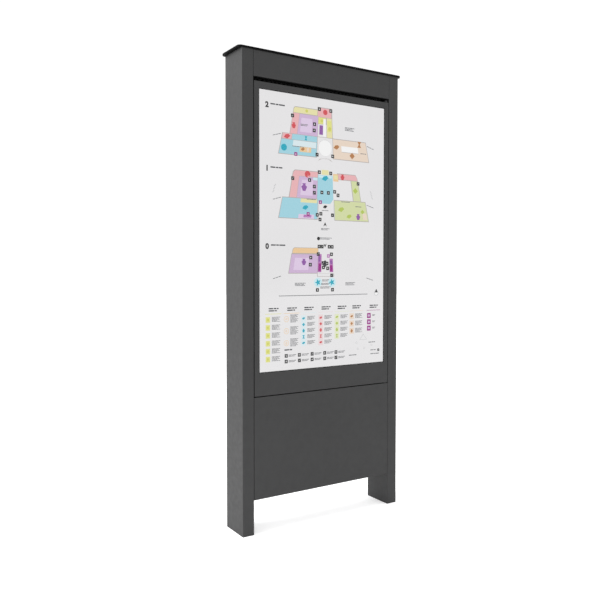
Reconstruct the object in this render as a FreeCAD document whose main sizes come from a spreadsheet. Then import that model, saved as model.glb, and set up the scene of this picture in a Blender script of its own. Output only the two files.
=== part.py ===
"""Touchscreen kiosk: a portrait display in a hinged front door between two box-section posts.

The origin is on the floor, in the middle of the body. X runs across the front, Y from front to back and Z up.
The front faces -Y. All lengths are in millimetres.
"""
import FreeCAD, Part

import os
import re

import Sketcher

V = FreeCAD.Vector

# Driving dimensions, one spreadsheet row each.
DIMENSIONS = {
    # body
    "overall_width": 850,
    "body_depth": 155,
    "post_width": 55,
    "post_height": 2072,
    "post_wall": 3,
    "fold_radius": 3,
    "sheet_metal": 2,
    "cap_thickness": 8,
    "cap_side_overhang": 17,
    "cap_front_overhang": 5,
    "cap_corner_radius": 18,
    "panel_bottom": 150,
    # front gaps
    "flap_top": 595,
    "flap_side_gap": 1,
    "door_bottom": 599,
    "door_top": 1943,
    "door_side_gap": 3,
    "header_bottom": 1962,
    "header_side_gap": 0.5,
    "return_depth": 28,
    # display and glass
    "picture_width": 680.4,
    "picture_height": 1209.6,
    "picture_bottom": 702,
    "glass_border": 2,
    "glass_gap": 1,
    "glass_step": 2,
    "glass_lip": 9.8,
    "display_lip": 9.7,
    "display_front_depth": 10,
    "display_rear_depth": 16,
    # feet
    "foot_plate_thickness": 10,
    "anchor_spacing": 100,
    "anchor_radius": 7,
    "cable_entry_radius": 16,
    "foot_opening_width": 30,
    "foot_opening_low": 34,
    "foot_opening_high": 138,
    # door pivots
    "pivot_inset": 12,
    "pivot_setback": 7,
    "pivot_radius": 5,
    "running_clearance": 0.05,
    "bush_radius": 6,
    "washer_radius": 6.8,
    # door latch
    "latch_travel": 20,
    "latch_x": 349,
    "latch_y": -22,
    "latch_low": 470,
    "latch_high": 1850,
    "stud_radius": 4,
    "lever_y": 8,
    "lever_z": 500,
    "lever_arm": 31,
    # service flap
    "flap_axis_setback": 5.5,
    "flap_axis_drop": 30,
    "flap_pin_radius": 3,
    "lock_x": 300,
    "lock_y": -58,
    "lock_radius": 9.5,
    "cam_length": 40,
    # cooling
    "shelf_height": 1885,
    "shelf_thickness": 2,
    "fan_size": 92,
    "fan_depth": 25,
    "fan_bore_radius": 44.5,
    "fan_x": 180,
    "fan_y": 22,
    # equipment
    "equipment_face": 50,
}

# Places that several pieces share, as expressions of the dimensions.
INNER = "(overall_width / 2 - post_width)"
POST_X = "(overall_width / 2 - post_width / 2)"
FRONT = "(-body_depth / 2)"
FRONT_BACK = "(-body_depth / 2 + sheet_metal)"
BACK = "(body_depth / 2)"
BACK_FRONT = "(body_depth / 2 - sheet_metal)"
CAVITY_WIDTH = "(post_width - 2 * post_wall)"
CAVITY_DEPTH = "(body_depth - 2 * post_wall)"
DOOR_HALF = "(overall_width / 2 - post_width - door_side_gap)"
FLAP_HALF = "(overall_width / 2 - post_width - flap_side_gap)"
GLASS_BACK = "(-body_depth / 2 + 2 * glass_step)"
DISPLAY_MID = "(-body_depth / 2 + 2 * glass_step + display_front_depth)"
DISPLAY_BACK = "(-body_depth / 2 + 2 * glass_step + display_front_depth + display_rear_depth)"
PIVOT_X = "(overall_width / 2 - post_width - door_side_gap - pivot_inset)"
PIVOT_Y = "(-body_depth / 2 + pivot_setback)"
FLAP_AXIS_Y = "(-body_depth / 2 + flap_axis_setback)"
FLAP_AXIS_Z = "(flap_top - flap_axis_drop)"
BUSH_BOTTOM = "(door_bottom + 0.2)"
FOOT_SCREW_HEIGHTS = ("(foot_opening_low - 9)", "(foot_opening_high + 9)")
JAMB_X = "(overall_width / 2 - post_width - 12.5)"
RAIL_FACE = "(equipment_face - 7.5)"

# Rows of fasteners and fittings.
CAP_SCREW_PLACES = (-45, 45)
JAMB_SCREW_HEIGHTS = tuple(180 + 264 * index for index in range(8))
DISPLAY_RAIL_PLACES = (-240, 240)
DISPLAY_SCREW_HEIGHTS = (810, 1080, 1520, 1790)
CLAW_HEIGHTS = (700, 1270, 1830)
CLAMP_HEIGHTS = (760, 940, 1120, 1420, 1600, 1760)
GUIDE_HEIGHTS = (620, 1000, 1560)

# Low or left faces of fittings that several pieces meet.
TRAY_Z = 158
PIVOT_BLOCK_X = 343
PLATE_X = 345
PLATE_Z = 200

WORDS = re.compile(r"\b(" + "|".join(DIMENSIONS) + r")\b")

doc = FreeCAD.newDocument("kiosk")
sheet = doc.addObject("Spreadsheet::Sheet", "sheet")
subparts = []


def fill_sheet():
    """Write each driving dimension to the sheet, with its alias."""
    for row, (alias, value) in enumerate(DIMENSIONS.items(), start=1):
        sheet.set(f"A{row}", alias)
        sheet.set(f"B{row}", str(value))
        sheet.setAlias(f"B{row}", alias)
    doc.recompute()


def bind(item, **sizes):
    """Bind properties to expressions; a double underscore in a name stands for a dot."""
    for name, text in sizes.items():
        formula = WORDS.sub(r"sheet.\1", str(text))
        item.setExpression(name.replace("__", "."), formula)


def move(item, x=0, y=0, z=0):
    bind(item, Placement__Base__x=x, Placement__Base__y=y, Placement__Base__z=z)


def keep(item, label):
    """Make an object one of the sub-parts under its label."""
    item.Label = label
    subparts.append(item)
    return item


# Part primitives


def block(x, y, z, width, depth, height):
    """Rectangular block with its low corner at x, y, z."""
    item = doc.addObject("Part::Box", "block")
    bind(item, Length=width, Width=depth, Height=height)
    move(item, x, y, z)
    return item


TURNS = {
    "X": FreeCAD.Rotation(V(0, 1, 0), 90),
    "Y": FreeCAD.Rotation(V(1, 0, 0), -90),
    "Z": FreeCAD.Rotation(),
}


def rod(axis, x, y, z, radius, length):
    """Cylinder that starts at x, y, z and runs along the positive axis."""
    item = doc.addObject("Part::Cylinder", "rod")
    item.Placement.Rotation = TURNS[axis]
    bind(item, Radius=radius, Height=length)
    move(item, x, y, z)
    return item


def cone(axis, x, y, z, start_radius, end_radius, length):
    item = doc.addObject("Part::Cone", "cone")
    item.Placement.Rotation = TURNS[axis]
    bind(item, Radius1=start_radius, Radius2=end_radius, Height=length)
    move(item, x, y, z)
    return item


def fuse(*items):
    joined = doc.addObject("Part::MultiFuse", "joined")
    joined.Shapes = list(items)
    joined.Refine = True
    return joined


def cut(base, *tools):
    result = doc.addObject("Part::Cut", "result")
    result.Base = base
    result.Tool = tools[0] if len(tools) == 1 else fuse(*tools)
    result.Refine = True
    return result


def group(label, items):
    """Identical separate solids that share one node."""
    together = doc.addObject("Part::Compound", "together")
    together.Links = list(items)
    return keep(together, label)


# PartDesign bodies


def new_body(label, finished=True):
    """Body that is a sub-part itself, or the blank of one when it isn't finished."""
    body = doc.addObject("PartDesign::Body", "body")
    body.Label = label
    if finished:
        subparts.append(body)
    return body


def new_sketch(body, plane, offset=0):
    """Sketch on an origin plane of its own body, moved by offset along the plane's normal."""
    sketch = body.newObject("Sketcher::SketchObject", "sketch")
    origin_plane = next(item for item in body.Origin.OriginFeatures if item.Role == plane)
    sketch.AttachmentSupport = [(origin_plane, "")]
    sketch.MapMode = "FlatFace"
    bind(sketch, AttachmentOffset__Base__z=offset)
    return sketch


def pin_point(sketch, line, point, u, v):
    """Hold one point of a sketch at u, v from its origin."""
    across = sketch.addConstraint(Sketcher.Constraint("DistanceX", -1, 1, line, point, 1.0))
    bind(sketch, **{f"Constraints[{across}]": u})
    upward = sketch.addConstraint(Sketcher.Constraint("DistanceY", -1, 1, line, point, 1.0))
    bind(sketch, **{f"Constraints[{upward}]": v})


def outline(sketch, points):
    """Closed polygon whose corners are expressions."""
    first = sketch.GeometryCount
    count = len(points)
    for index in range(count):
        start = V(index, index * index, 0)
        following = (index + 1) % count
        sketch.addGeometry(Part.LineSegment(start, V(following, following * following, 0)), False)
    for index in range(count):
        following = first + (index + 1) % count
        sketch.addConstraint(Sketcher.Constraint("Coincident", first + index, 2, following, 1))
    for index, (u, v) in enumerate(points):
        pin_point(sketch, first + index, 1, u, v)


def rectangle(sketch, u, v, width, height):
    """Rectangle from its low corner."""
    right = f"{u} + {width}"
    top = f"{v} + {height}"
    outline(sketch, [(u, v), (right, v), (right, top), (u, top)])


def circle(sketch, u, v, radius):
    index = sketch.addGeometry(Part.Circle(V(0, 0, 0), V(0, 0, 1), 5), False)
    size = sketch.addConstraint(Sketcher.Constraint("Radius", index, 5))
    bind(sketch, **{f"Constraints[{size}]": radius})
    pin_point(sketch, index, 3, u, v)


def pad(body, sketch, length, backward=False):
    feature = body.newObject("PartDesign::Pad", "pad")
    feature.Profile = sketch
    feature.Reversed = backward
    bind(feature, Length=length)
    doc.recompute()
    return feature


def pocket(body, sketch, depth=None, backward=False):
    """Cut a sketch to a depth, or through everything."""
    before = body.Shape.Volume
    feature = body.newObject("PartDesign::Pocket", "pocket")
    feature.Profile = sketch
    feature.Reversed = backward
    if depth is None:
        feature.Type = "ThroughAll"
    else:
        bind(feature, Length=depth)
    doc.recompute()
    if body.Shape.Volume >= before:
        raise ValueError(f"a pocket of {body.Label} cuts nothing")
    return feature


def round_edges(body, base, radius, wanted):
    """Fillet the edges of a feature for which wanted(edge) is true."""
    names = [f"Edge{index}" for index, edge in enumerate(base.Shape.Edges, start=1) if wanted(edge)]
    if not names:
        raise ValueError(f"no edge of {body.Label} to round")
    feature = body.newObject("PartDesign::Fillet", "fillet")
    feature.Base = (base, names)
    bind(feature, Radius=radius)
    doc.recompute()
    return feature


def runs_along(edge, axis):
    """True for a straight edge parallel to an axis."""
    if edge.Curve.TypeId != "Part::GeomLine":
        return False
    return abs(edge.tangentAt(edge.FirstParameter).dot(axis)) > 0.99


def number(alias):
    return float(sheet.get(alias))


# Frame


def post(label, side):
    """Closed box section with an opening low in its rear face. side is -1 on the left, 1 on the right."""
    body = new_body(label)
    profile = new_sketch(body, "XY_Plane")
    rectangle(profile, "-post_width / 2", "-body_depth / 2", "post_width", "body_depth")
    tube = pad(body, profile, "post_height")
    round_edges(body, tube, "fold_radius", lambda edge: runs_along(edge, V(0, 0, 1)))
    cavity = new_sketch(body, "XY_Plane")
    rectangle(cavity, f"-{CAVITY_WIDTH} / 2", f"-{CAVITY_DEPTH} / 2", CAVITY_WIDTH, CAVITY_DEPTH)
    pocket(body, cavity, backward=True)
    opening = new_sketch(body, "XZ_Plane")
    height = "(foot_opening_high - foot_opening_low)"
    rectangle(opening, "-foot_opening_width / 2", "foot_opening_low", "foot_opening_width", height)
    pocket(body, opening)
    tapped = new_sketch(body, "XZ_Plane")
    for z in FOOT_SCREW_HEIGHTS:
        circle(tapped, 0, z, 2.5)
    pocket(body, tapped)
    pin_hole = new_sketch(body, "YZ_Plane")
    circle(pin_hole, FLAP_AXIS_Y, FLAP_AXIS_Z, "flap_pin_radius + 0.02")
    if side < 0:
        circle(pin_hole, 30, 260, 12)
    pocket(body, pin_hole, backward=side < 0)
    move(body, x=f"{side} * {POST_X}")


def foot_plate(label, side):
    """Plate welded in the foot, with two floor anchor holes and a cable entry between them."""
    body = new_body(label)
    profile = new_sketch(body, "XY_Plane")
    rectangle(profile, f"-{CAVITY_WIDTH} / 2", f"-{CAVITY_DEPTH} / 2", CAVITY_WIDTH, CAVITY_DEPTH)
    pad(body, profile, "foot_plate_thickness")
    entry = new_sketch(body, "XY_Plane")
    circle(entry, 0, 0, "cable_entry_radius")
    pocket(body, entry, backward=True)
    anchors = new_sketch(body, "XY_Plane", "foot_plate_thickness")
    for end in (-1, 1):
        circle(anchors, 0, f"{end} * anchor_spacing / 2", "anchor_radius")
    before = body.Shape.Volume
    holes = body.newObject("PartDesign::Hole", "anchor_holes")
    holes.Profile = anchors
    doc.recompute()
    holes.ThreadType = 0
    holes.DepthType = "ThroughAll"
    bind(holes, Diameter="2 * anchor_radius")
    doc.recompute()
    if body.Shape.Volume >= before:
        raise ValueError("the anchor holes cut nothing")
    move(body, x=f"{side} * {POST_X}")


def post_head(label, side):
    """Plate welded in the top of a post, tapped for the cap screws."""
    body = new_body(label)
    profile = new_sketch(body, "XY_Plane")
    rectangle(profile, f"-{CAVITY_WIDTH} / 2", f"-{CAVITY_DEPTH} / 2", CAVITY_WIDTH, CAVITY_DEPTH)
    pad(body, profile, 8)
    tapped = new_sketch(body, "XY_Plane")
    for y in CAP_SCREW_PLACES:
        circle(tapped, 0, y, 4)
    pocket(body, tapped, backward=True)
    move(body, x=f"{side} * {POST_X}", z="post_height - 8")


def rail(label, y, z, depth, height):
    """Hollow cross rail from post to post."""
    body = new_body(label)
    profile = new_sketch(body, "YZ_Plane")
    rectangle(profile, 0, 0, depth, height)
    wall = "sheet_metal"
    rectangle(profile, wall, wall, f"{depth} - 2 * {wall}", f"{height} - 2 * {wall}")
    pad(body, profile, f"2 * {INNER}")
    move(body, x=f"-{INNER}", y=y, z=z)


def floor_tray():
    """Bottom of the cabinet: a plate with an upstand behind the flap, notched where the lock cams pass."""
    nose_front = -71
    nose_back = -46
    nose_half = 365
    depth = f"{BACK_FRONT} - ({nose_back})"
    plate = block(f"-{INNER}", nose_back, TRAY_Z, f"2 * {INNER}", depth, "sheet_metal")
    nose = block(-nose_half, nose_front, TRAY_Z, 2 * nose_half, nose_back - nose_front, "sheet_metal")
    upstand = block(-nose_half, nose_front, TRAY_Z, 2 * nose_half, "sheet_metal", 24)
    notches = [block(f"{side} * lock_x - 13", nose_front - 1, TRAY_Z - 1, 26, 27, 30) for side in (-1, 1)]
    intake = block(-200, -30, TRAY_Z - 8, 400, 80, 20)
    keep(cut(fuse(plate, nose, upstand), intake, *notches), "floor_tray")


def intake_filter():
    """Dust filter panel over the air inlet of the floor tray."""
    frame = block(-210, -40, f"{TRAY_Z} + sheet_metal", 420, 100, 8)
    slots = [block(-194 + 21 * index, -28, TRAY_Z - 8, 10, 76, 30) for index in range(19)]
    keep(cut(frame, *slots), "intake_filter")


# Skins


def top_cap():
    """Flat cap with rounded corners, held by four countersunk screws."""
    body = new_body("cap_plate", finished=False)
    profile = new_sketch(body, "XY_Plane")
    width = "(overall_width + 2 * cap_side_overhang)"
    depth = "(body_depth + 2 * cap_front_overhang)"
    rectangle(profile, f"-{width} / 2", f"-{depth} / 2", width, depth)
    plate = pad(body, profile, "cap_thickness")
    corners = round_edges(body, plate, "cap_corner_radius", lambda edge: runs_along(edge, V(0, 0, 1)))
    thickness = number("cap_thickness")
    round_edges(body, corners, 1, lambda edge: abs(edge.CenterOfMass.z - thickness) < 0.01)
    countersinks = []
    for side in (-1, 1):
        x = f"{side} * {POST_X}"
        for y in CAP_SCREW_PLACES:
            countersinks.append(rod("Z", x, y, "post_height - 1", 4.2, "cap_thickness + 2"))
            countersinks.append(cone("Z", x, y, "post_height + cap_thickness - 4", 4.2, 8.2, 4))
    move(body, z="post_height")
    keep(cut(body, *countersinks), "top_cap")


def cap_screws():
    screws = []
    for side in (-1, 1):
        x = f"{side} * {POST_X}"
        for y in CAP_SCREW_PLACES:
            shank = rod("Z", x, y, "post_height - 12", 3.95, "cap_thickness + 10")
            head = cone("Z", x, y, "post_height + cap_thickness - 4", 3.95, 7.95, 3.9)
            socket = rod("Z", x, y, "post_height + cap_thickness - 3", 2.5, 5)
            screws.append(cut(fuse(shank, head), socket))
    group("cap_screws", screws)


def header_panel():
    """Folded panel under the cap, with a top and a bottom return."""
    body = new_body("header_panel")
    profile = new_sketch(body, "YZ_Plane")
    tall = "(post_height - header_bottom)"
    skin = "sheet_metal"
    outline(profile, [
        (0, 0), (30, 0), (30, skin), (skin, skin), (skin, f"{tall} - {skin}"),
        (30, f"{tall} - {skin}"), (30, tall), (0, tall),
    ])
    fold = pad(body, profile, f"2 * ({INNER} - header_side_gap)")

    def on_front(edge):
        return runs_along(edge, V(1, 0, 0)) and abs(edge.CenterOfMass.y) < 0.01

    round_edges(body, fold, 1.5, on_front)
    move(body, x=f"-({INNER} - header_side_gap)", y=FRONT, z="header_bottom")


def vent_grille():
    """Slotted plate across the air outlet, with a flange that lines the underside of the header."""
    left = -366
    gauge = 1.5
    plate = block(left, -47, "door_top + 2", PIVOT_BLOCK_X - 2 - left, gauge, 44)
    half = f"({INNER} - 1)"
    flange = block(f"-{half}", f"{FRONT} + 1", f"header_bottom - {gauge}", f"2 * {half}", 30, gauge)
    slots = []
    tall = "header_bottom - door_top - 8"
    for index in range(33):
        slots.append(block(left + 8 + 21.2 * index, -50, "door_top + 5", 12, 8, tall))
    keep(cut(fuse(plate, flange), *slots), "vent_grille")


def rear_panel():
    """Rear sheet with inlet slots low down."""
    body = new_body("rear_panel")
    profile = new_sketch(body, "XZ_Plane")
    tall = "(post_height - 154)"
    rectangle(profile, f"-({INNER} - 0.5)", 152, f"2 * ({INNER} - 0.5)", tall)
    pad(body, profile, "sheet_metal")
    holes = new_sketch(body, "XZ_Plane")
    for side in (-1, 1):
        for z in JAMB_SCREW_HEIGHTS:
            circle(holes, f"{side} * {JAMB_X}", z, 2.6)
    pocket(body, holes, backward=True)
    bottom_row = new_sketch(body, "XZ_Plane")
    for index in range(4):
        rectangle(bottom_row, f"-315 + {index} * 170", 640, 120, 6)
    slots = pocket(body, bottom_row, backward=True)
    rows = body.newObject("PartDesign::LinearPattern", "rows")
    rows.Originals = [slots]
    rows.Direction = (bottom_row, ["V_Axis"])
    rows.Length = 180
    rows.Occurrences = 10
    body.Tip = rows
    doc.recompute()
    move(body, y=BACK)


def rear_jambs():
    """Angle strips on the posts that the rear panel is screwed to."""
    strips = []
    for side in (-1, 1):
        middle = f"({side} * {JAMB_X})"
        strip = block(f"{middle} - 12.5", f"{BACK_FRONT} - 3", 162, 25, 3, "post_height - 172")
        holes = [rod("Y", middle, 60, z, 2.6, 20) for z in JAMB_SCREW_HEIGHTS]
        strips.append(cut(strip, *holes))
    group("rear_jambs", strips)


def rear_panel_screws():
    screws = []
    for side in (-1, 1):
        x = f"{side} * {JAMB_X}"
        for z in JAMB_SCREW_HEIGHTS:
            shank = rod("Y", x, f"{BACK} - 12", z, 2.5, 12.5)
            head = cone("Y", x, BACK, z, 5, 3.8, 2)
            socket = rod("Y", x, f"{BACK} + 0.8", z, 1.6, 3)
            screws.append(cut(fuse(shank, head), socket))
    group("rear_panel_screws", screws)


def foot_cover(label, side):
    """Plate over the anchor opening in the back of a foot."""
    body = new_body(label)
    profile = new_sketch(body, "XZ_Plane")
    rectangle(profile, -21, "foot_opening_low - 18", 42, "foot_opening_high - foot_opening_low + 36")
    plate = pad(body, profile, "sheet_metal", backward=True)
    round_edges(body, plate, 5, lambda edge: runs_along(edge, V(0, 1, 0)))
    holes = new_sketch(body, "XZ_Plane")
    for z in FOOT_SCREW_HEIGHTS:
        circle(holes, 0, z, 2.6)
    pocket(body, holes)
    move(body, x=f"{side} * {POST_X}", y=BACK)


def foot_cover_screws():
    screws = []
    for side in (-1, 1):
        x = f"{side} * {POST_X}"
        for z in FOOT_SCREW_HEIGHTS:
            shank = rod("Y", x, f"{BACK} - 10", z, 2.45, 12.5)
            head = cone("Y", x, f"{BACK} + sheet_metal", z, 4.8, 3.6, 2)
            socket = rod("Y", x, f"{BACK} + sheet_metal + 0.8", z, 1.6, 3)
            screws.append(cut(fuse(shank, head), socket))
    group("foot_cover_screws", screws)


# Door pivots


def pivot_bracket(label, plate_z, thickness, flange_z):
    """Plate that holds a pivot pin in front of the right post, with a flange welded to the post."""
    front = -75.2
    rear = -20
    plate = block(PIVOT_BLOCK_X, front, plate_z, f"{INNER} - {PIVOT_BLOCK_X}", rear - front, thickness)
    flange = block(f"{INNER} - 4", rear - 25, flange_z, 4, 25, 25)
    bore = rod("Z", PIVOT_X, PIVOT_Y, f"{plate_z} - 10", "pivot_radius + 0.02", 20)
    keep(cut(fuse(plate, flange), bore), label)


def pivot_pins():
    """Lower pin welded in its bracket; upper pin with a head, put in before the header goes on."""
    keep(rod("Z", PIVOT_X, PIVOT_Y, "door_bottom - 3.2", "pivot_radius", 24), "lower_pivot_pin")
    shank = rod("Z", PIVOT_X, PIVOT_Y, "door_top - 17", "pivot_radius", 23)
    head = rod("Z", PIVOT_X, PIVOT_Y, "door_top + 6", 6.5, 3)
    keep(fuse(shank, head), "upper_pivot_pin")


def tube_piece(x, y, z, outer, inner, length):
    return cut(rod("Z", x, y, z, outer, length), rod("Z", x, y, f"{z} - 5", inner, f"{length} + 10"))


def pivot_bushes():
    bore = "pivot_radius + running_clearance"
    lower = tube_piece(PIVOT_X, PIVOT_Y, BUSH_BOTTOM, "bush_radius", bore, 24)
    upper = tube_piece(PIVOT_X, PIVOT_Y, "door_top - 18.5", "bush_radius", bore, 18.2)
    group("pivot_bushes", [lower, upper])


def thrust_washer():
    bore = "pivot_radius + running_clearance"
    keep(tube_piece(PIVOT_X, PIVOT_Y, "door_bottom - 0.7", "washer_radius", bore, 0.6), "thrust_washer")


# Screen door


def door_frame():
    """Folded tray with a window for the glass and two pivot blocks in its right-hand corners."""
    body = new_body("door_tray", finished=False)
    tall = "(door_top - door_bottom)"
    profile = new_sketch(body, "XZ_Plane")
    rectangle(profile, f"-{DOOR_HALF}", "door_bottom", f"2 * {DOOR_HALF}", tall)
    tray = pad(body, profile, "return_depth", backward=True)
    round_edges(body, tray, 1.2, lambda edge: abs(edge.CenterOfMass.y) < 0.01)
    hollow = new_sketch(body, "XZ_Plane", "-sheet_metal")
    inside = f"({DOOR_HALF} - sheet_metal)"
    rectangle(hollow, f"-{inside}", "door_bottom + sheet_metal", f"2 * {inside}", f"{tall} - 2 * sheet_metal")
    pocket(body, hollow)
    window = new_sketch(body, "XZ_Plane")
    half = "(picture_width / 2 + glass_border + glass_gap)"
    edge = "(glass_border + glass_gap)"
    rectangle(window, f"-{half}", f"picture_bottom - {edge}", f"2 * {half}", f"picture_height + 2 * {edge}")
    pocket(body, window)
    move(body, y=FRONT)
    length = f"{inside} - {PIVOT_BLOCK_X}"
    lower = block(PIVOT_BLOCK_X, FRONT_BACK, "door_bottom + sheet_metal", length, 20, 22.2)
    upper = block(PIVOT_BLOCK_X, FRONT_BACK, "door_top - 18.5", length, 20, 16.5)
    lower_bore = rod("Z", PIVOT_X, PIVOT_Y, "door_bottom - 5", "bush_radius", 40)
    upper_bore = rod("Z", PIVOT_X, PIVOT_Y, "door_top - 25", "bush_radius", 40)
    keep(cut(fuse(body, lower, upper), lower_bore, upper_bore), "door_frame")


def touch_glass():
    """Stepped pane: its raised middle is flush with the door and its lip lies behind the door's face."""
    body = new_body("touch_glass")
    raised = new_sketch(body, "XZ_Plane")
    half = "(picture_width / 2 + glass_border)"
    height = "picture_height + 2 * glass_border"
    rectangle(raised, f"-{half}", "picture_bottom - glass_border", f"2 * {half}", height)
    pad(body, raised, "2 * glass_step", backward=True)
    lip = new_sketch(body, "XZ_Plane", "-glass_step")
    wide = "(picture_width / 2 + glass_border + glass_lip)"
    low = "(glass_border + glass_lip)"
    rectangle(lip, f"-{wide}", f"picture_bottom - {low}", f"2 * {wide}", f"picture_height + 2 * {low}")
    pad(body, lip, "glass_step", backward=True)
    move(body, y=FRONT)


def glass_gasket():
    """Rubber line in the gap between the glass and the window of the door."""
    outer_half = "(picture_width / 2 + glass_border + glass_gap)"
    inner_half = "(picture_width / 2 + glass_border)"
    edge = "(glass_border + glass_gap)"
    ring = block(
        f"-{outer_half}", f"{FRONT} + 0.4", f"picture_bottom - {edge}",
        f"2 * {outer_half}", "glass_step - 0.4", f"picture_height + 2 * {edge}",
    )
    middle = block(
        f"-{inner_half}", f"{FRONT} - 5", "picture_bottom - glass_border",
        f"2 * {inner_half}", 20, "picture_height + 2 * glass_border",
    )
    keep(cut(ring, middle), "glass_gasket")


def display_panel():
    """Display layers in their slim front frame."""
    half = "(picture_width / 2 + display_lip)"
    keep(block(
        f"-{half}", GLASS_BACK, "picture_bottom - display_lip",
        f"2 * {half}", "display_front_depth", "picture_height + 2 * display_lip",
    ), "display_panel")


def display_housing():
    """Hollow backlight tray behind the display panel, with pressed stiffening ribs."""
    shell = block(
        -340, DISPLAY_MID, "picture_bottom + 4",
        680, "display_rear_depth - 3", "picture_height - 8",
    )
    hollow = block(
        -338.5, f"{DISPLAY_MID} - 5", "picture_bottom + 5.5",
        677, "display_rear_depth + 0.5", "picture_height - 11",
    )
    tray = cut(shell, hollow)
    ribs = []
    for z in [height - 20 for height in DISPLAY_SCREW_HEIGHTS]:
        ribs.append(block(-300, f"{DISPLAY_BACK} - 3", z, 600, 3, 40))
    keep(fuse(tray, *ribs), "display_housing")


def display_rails():
    """Two upright hat-section rails that tie the display to the door frame's top and bottom returns."""
    rails = []
    low = "(door_bottom + sheet_metal)"
    length = f"1920 - {low}"
    for middle in DISPLAY_RAIL_PLACES:
        web = block(middle - 20, f"{DISPLAY_BACK} + 11", low, 40, 3, length)
        walls = [block(x, DISPLAY_BACK, low, 2, 11, length) for x in (middle - 20, middle + 18)]
        foot = block(middle - 20, -60, low, 40, 15, 3)
        holes = [rod("Y", middle, DISPLAY_BACK, z, 3.05, 30) for z in DISPLAY_SCREW_HEIGHTS]
        rails.append(cut(fuse(web, foot, *walls), *holes))
    group("display_rails", rails)


def display_screws():
    screws = []
    for x in DISPLAY_RAIL_PLACES:
        for z in DISPLAY_SCREW_HEIGHTS:
            shank = rod("Y", x, DISPLAY_BACK, z, 3, 14.5)
            head = cone("Y", x, f"{DISPLAY_BACK} + 14", z, 5.5, 4.5, 3)
            screws.append(fuse(shank, head))
    group("display_screws", screws)


def display_driver_box():
    """Cover over the display's power and timing boards."""
    cover = block(-110, f"{DISPLAY_BACK} - 3", 1200, 220, 15, 180)
    slots = [block(f"-90 + {index} * 14", f"{DISPLAY_BACK} + 10", 1225, 6, 8, 130) for index in range(13)]
    keep(cut(cover, *slots), "display_driver_box")


def glass_clamps():
    """Clamps that press the display and the glass against the back of the door's face."""
    clamps = []
    for side in (-1, 1):
        jaw_x = 341 if side > 0 else -364
        post_x = 354 if side > 0 else -364
        for z in CLAMP_HEIGHTS:
            jaw = block(jaw_x, DISPLAY_MID, z, 23, 3, 24)
            stem = block(post_x, FRONT_BACK, z, 10, f"{DISPLAY_MID} - {FRONT_BACK}", 24)
            clamps.append(fuse(jaw, stem))
    group("glass_clamps", clamps)


def touch_controller():
    """Small closed module behind the door's lower margin."""
    shell = block(-60, FRONT_BACK, 622, 120, 14, 56)
    socket = block(-20, f"{FRONT_BACK} + 3", 615, 14, 6, 16)
    keep(cut(shell, socket), "touch_controller")


def door_claws():
    """Plates on the door's free side with an L-shaped slot that the latch studs lock into."""
    claws = []
    for z in CLAW_HEIGHTS:
        base = block(-365, -73, z - 25, 4, 23, 50)
        plate = block(-361, -73, z - 25, 4, 62, 50)
        mouth = block(-362, "latch_y - 6", z - 16, 6, 30, 10)
        pocket_slot = block(-362, "latch_y - 6", z - 16, 6, 11, 30.5)
        claws.append(cut(fuse(base, plate), mouth, pocket_slot))
    group("door_claws", claws)


# Door latch


def latch_bar():
    """Flat bar with three studs and a cross slot for the lever's drive pin."""
    bar = block("-latch_x - 3", "latch_y - 10", "latch_low", 6, 20, "latch_high - latch_low")
    studs = [rod("X", "-latch_x - 14", "latch_y", z - 11, "stud_radius", 12) for z in CLAW_HEIGHTS]
    drop = "lever_z - latch_travel / 2"
    cross_slot = block("-latch_x - 8", "latch_y - 6", f"{drop} - 3.5", 20, 13, 7)
    keep(cut(fuse(bar, *studs), cross_slot), "latch_bar")


def latch_guides():
    guides = []
    for z in GUIDE_HEIGHTS:
        shell = block(f"-{INNER}", "latch_y - 14", z, 28, 28, 14)
        slide = block("-latch_x - 3.4", "latch_y - 10.4", z - 5, 6.8, 20.8, 30)
        guides.append(cut(shell, slide))
    group("latch_guides", guides)


def latch_lever():
    """Hand lever that lifts and lowers the latch bar, drawn at its unlatched end."""
    body = new_body("latch_lever")
    drive_y = "(-sqrt(lever_arm ^ 2 - (latch_travel / 2) ^ 2))"
    profile = new_sketch(body, "YZ_Plane")
    circle(profile, 0, 0, 11)
    pad(body, profile, 6)
    arm = new_sketch(body, "YZ_Plane")
    outline(arm, [(-2, -9), (f"{drive_y} - 4", -15), (f"{drive_y} - 4", -5), (-2, 9)])
    pad(body, arm, 6)
    handle = new_sketch(body, "YZ_Plane")
    outline(handle, [(-9, -4), (9, 4), (42, -112), (28, -118)])
    pad(body, handle, 6)
    drive = new_sketch(body, "YZ_Plane")
    circle(drive, drive_y, "-latch_travel / 2", 3)
    pad(body, drive, 19)
    knob = new_sketch(body, "YZ_Plane", -2)
    circle(knob, 35, -115, 11)
    pad(body, knob, 10)
    bore = new_sketch(body, "YZ_Plane")
    circle(bore, 0, 0, "5 + running_clearance")
    pocket(body, bore, backward=True)
    move(body, x="-latch_x - 13", y="lever_y", z="lever_z")


def latch_lever_pin():
    """Shoulder bolt in the left post that the lever turns on."""
    shoulder = rod("X", f"-{INNER}", "lever_y", "lever_z", 9, 7.5)
    journal = rod("X", f"-{INNER}", "lever_y", "lever_z", 5, 16)
    head = rod("X", f"-{INNER} + 14.5", "lever_y", "lever_z", 8, 2.5)
    keep(fuse(shoulder, journal, head), "latch_lever_pin")


# Service flap


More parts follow.
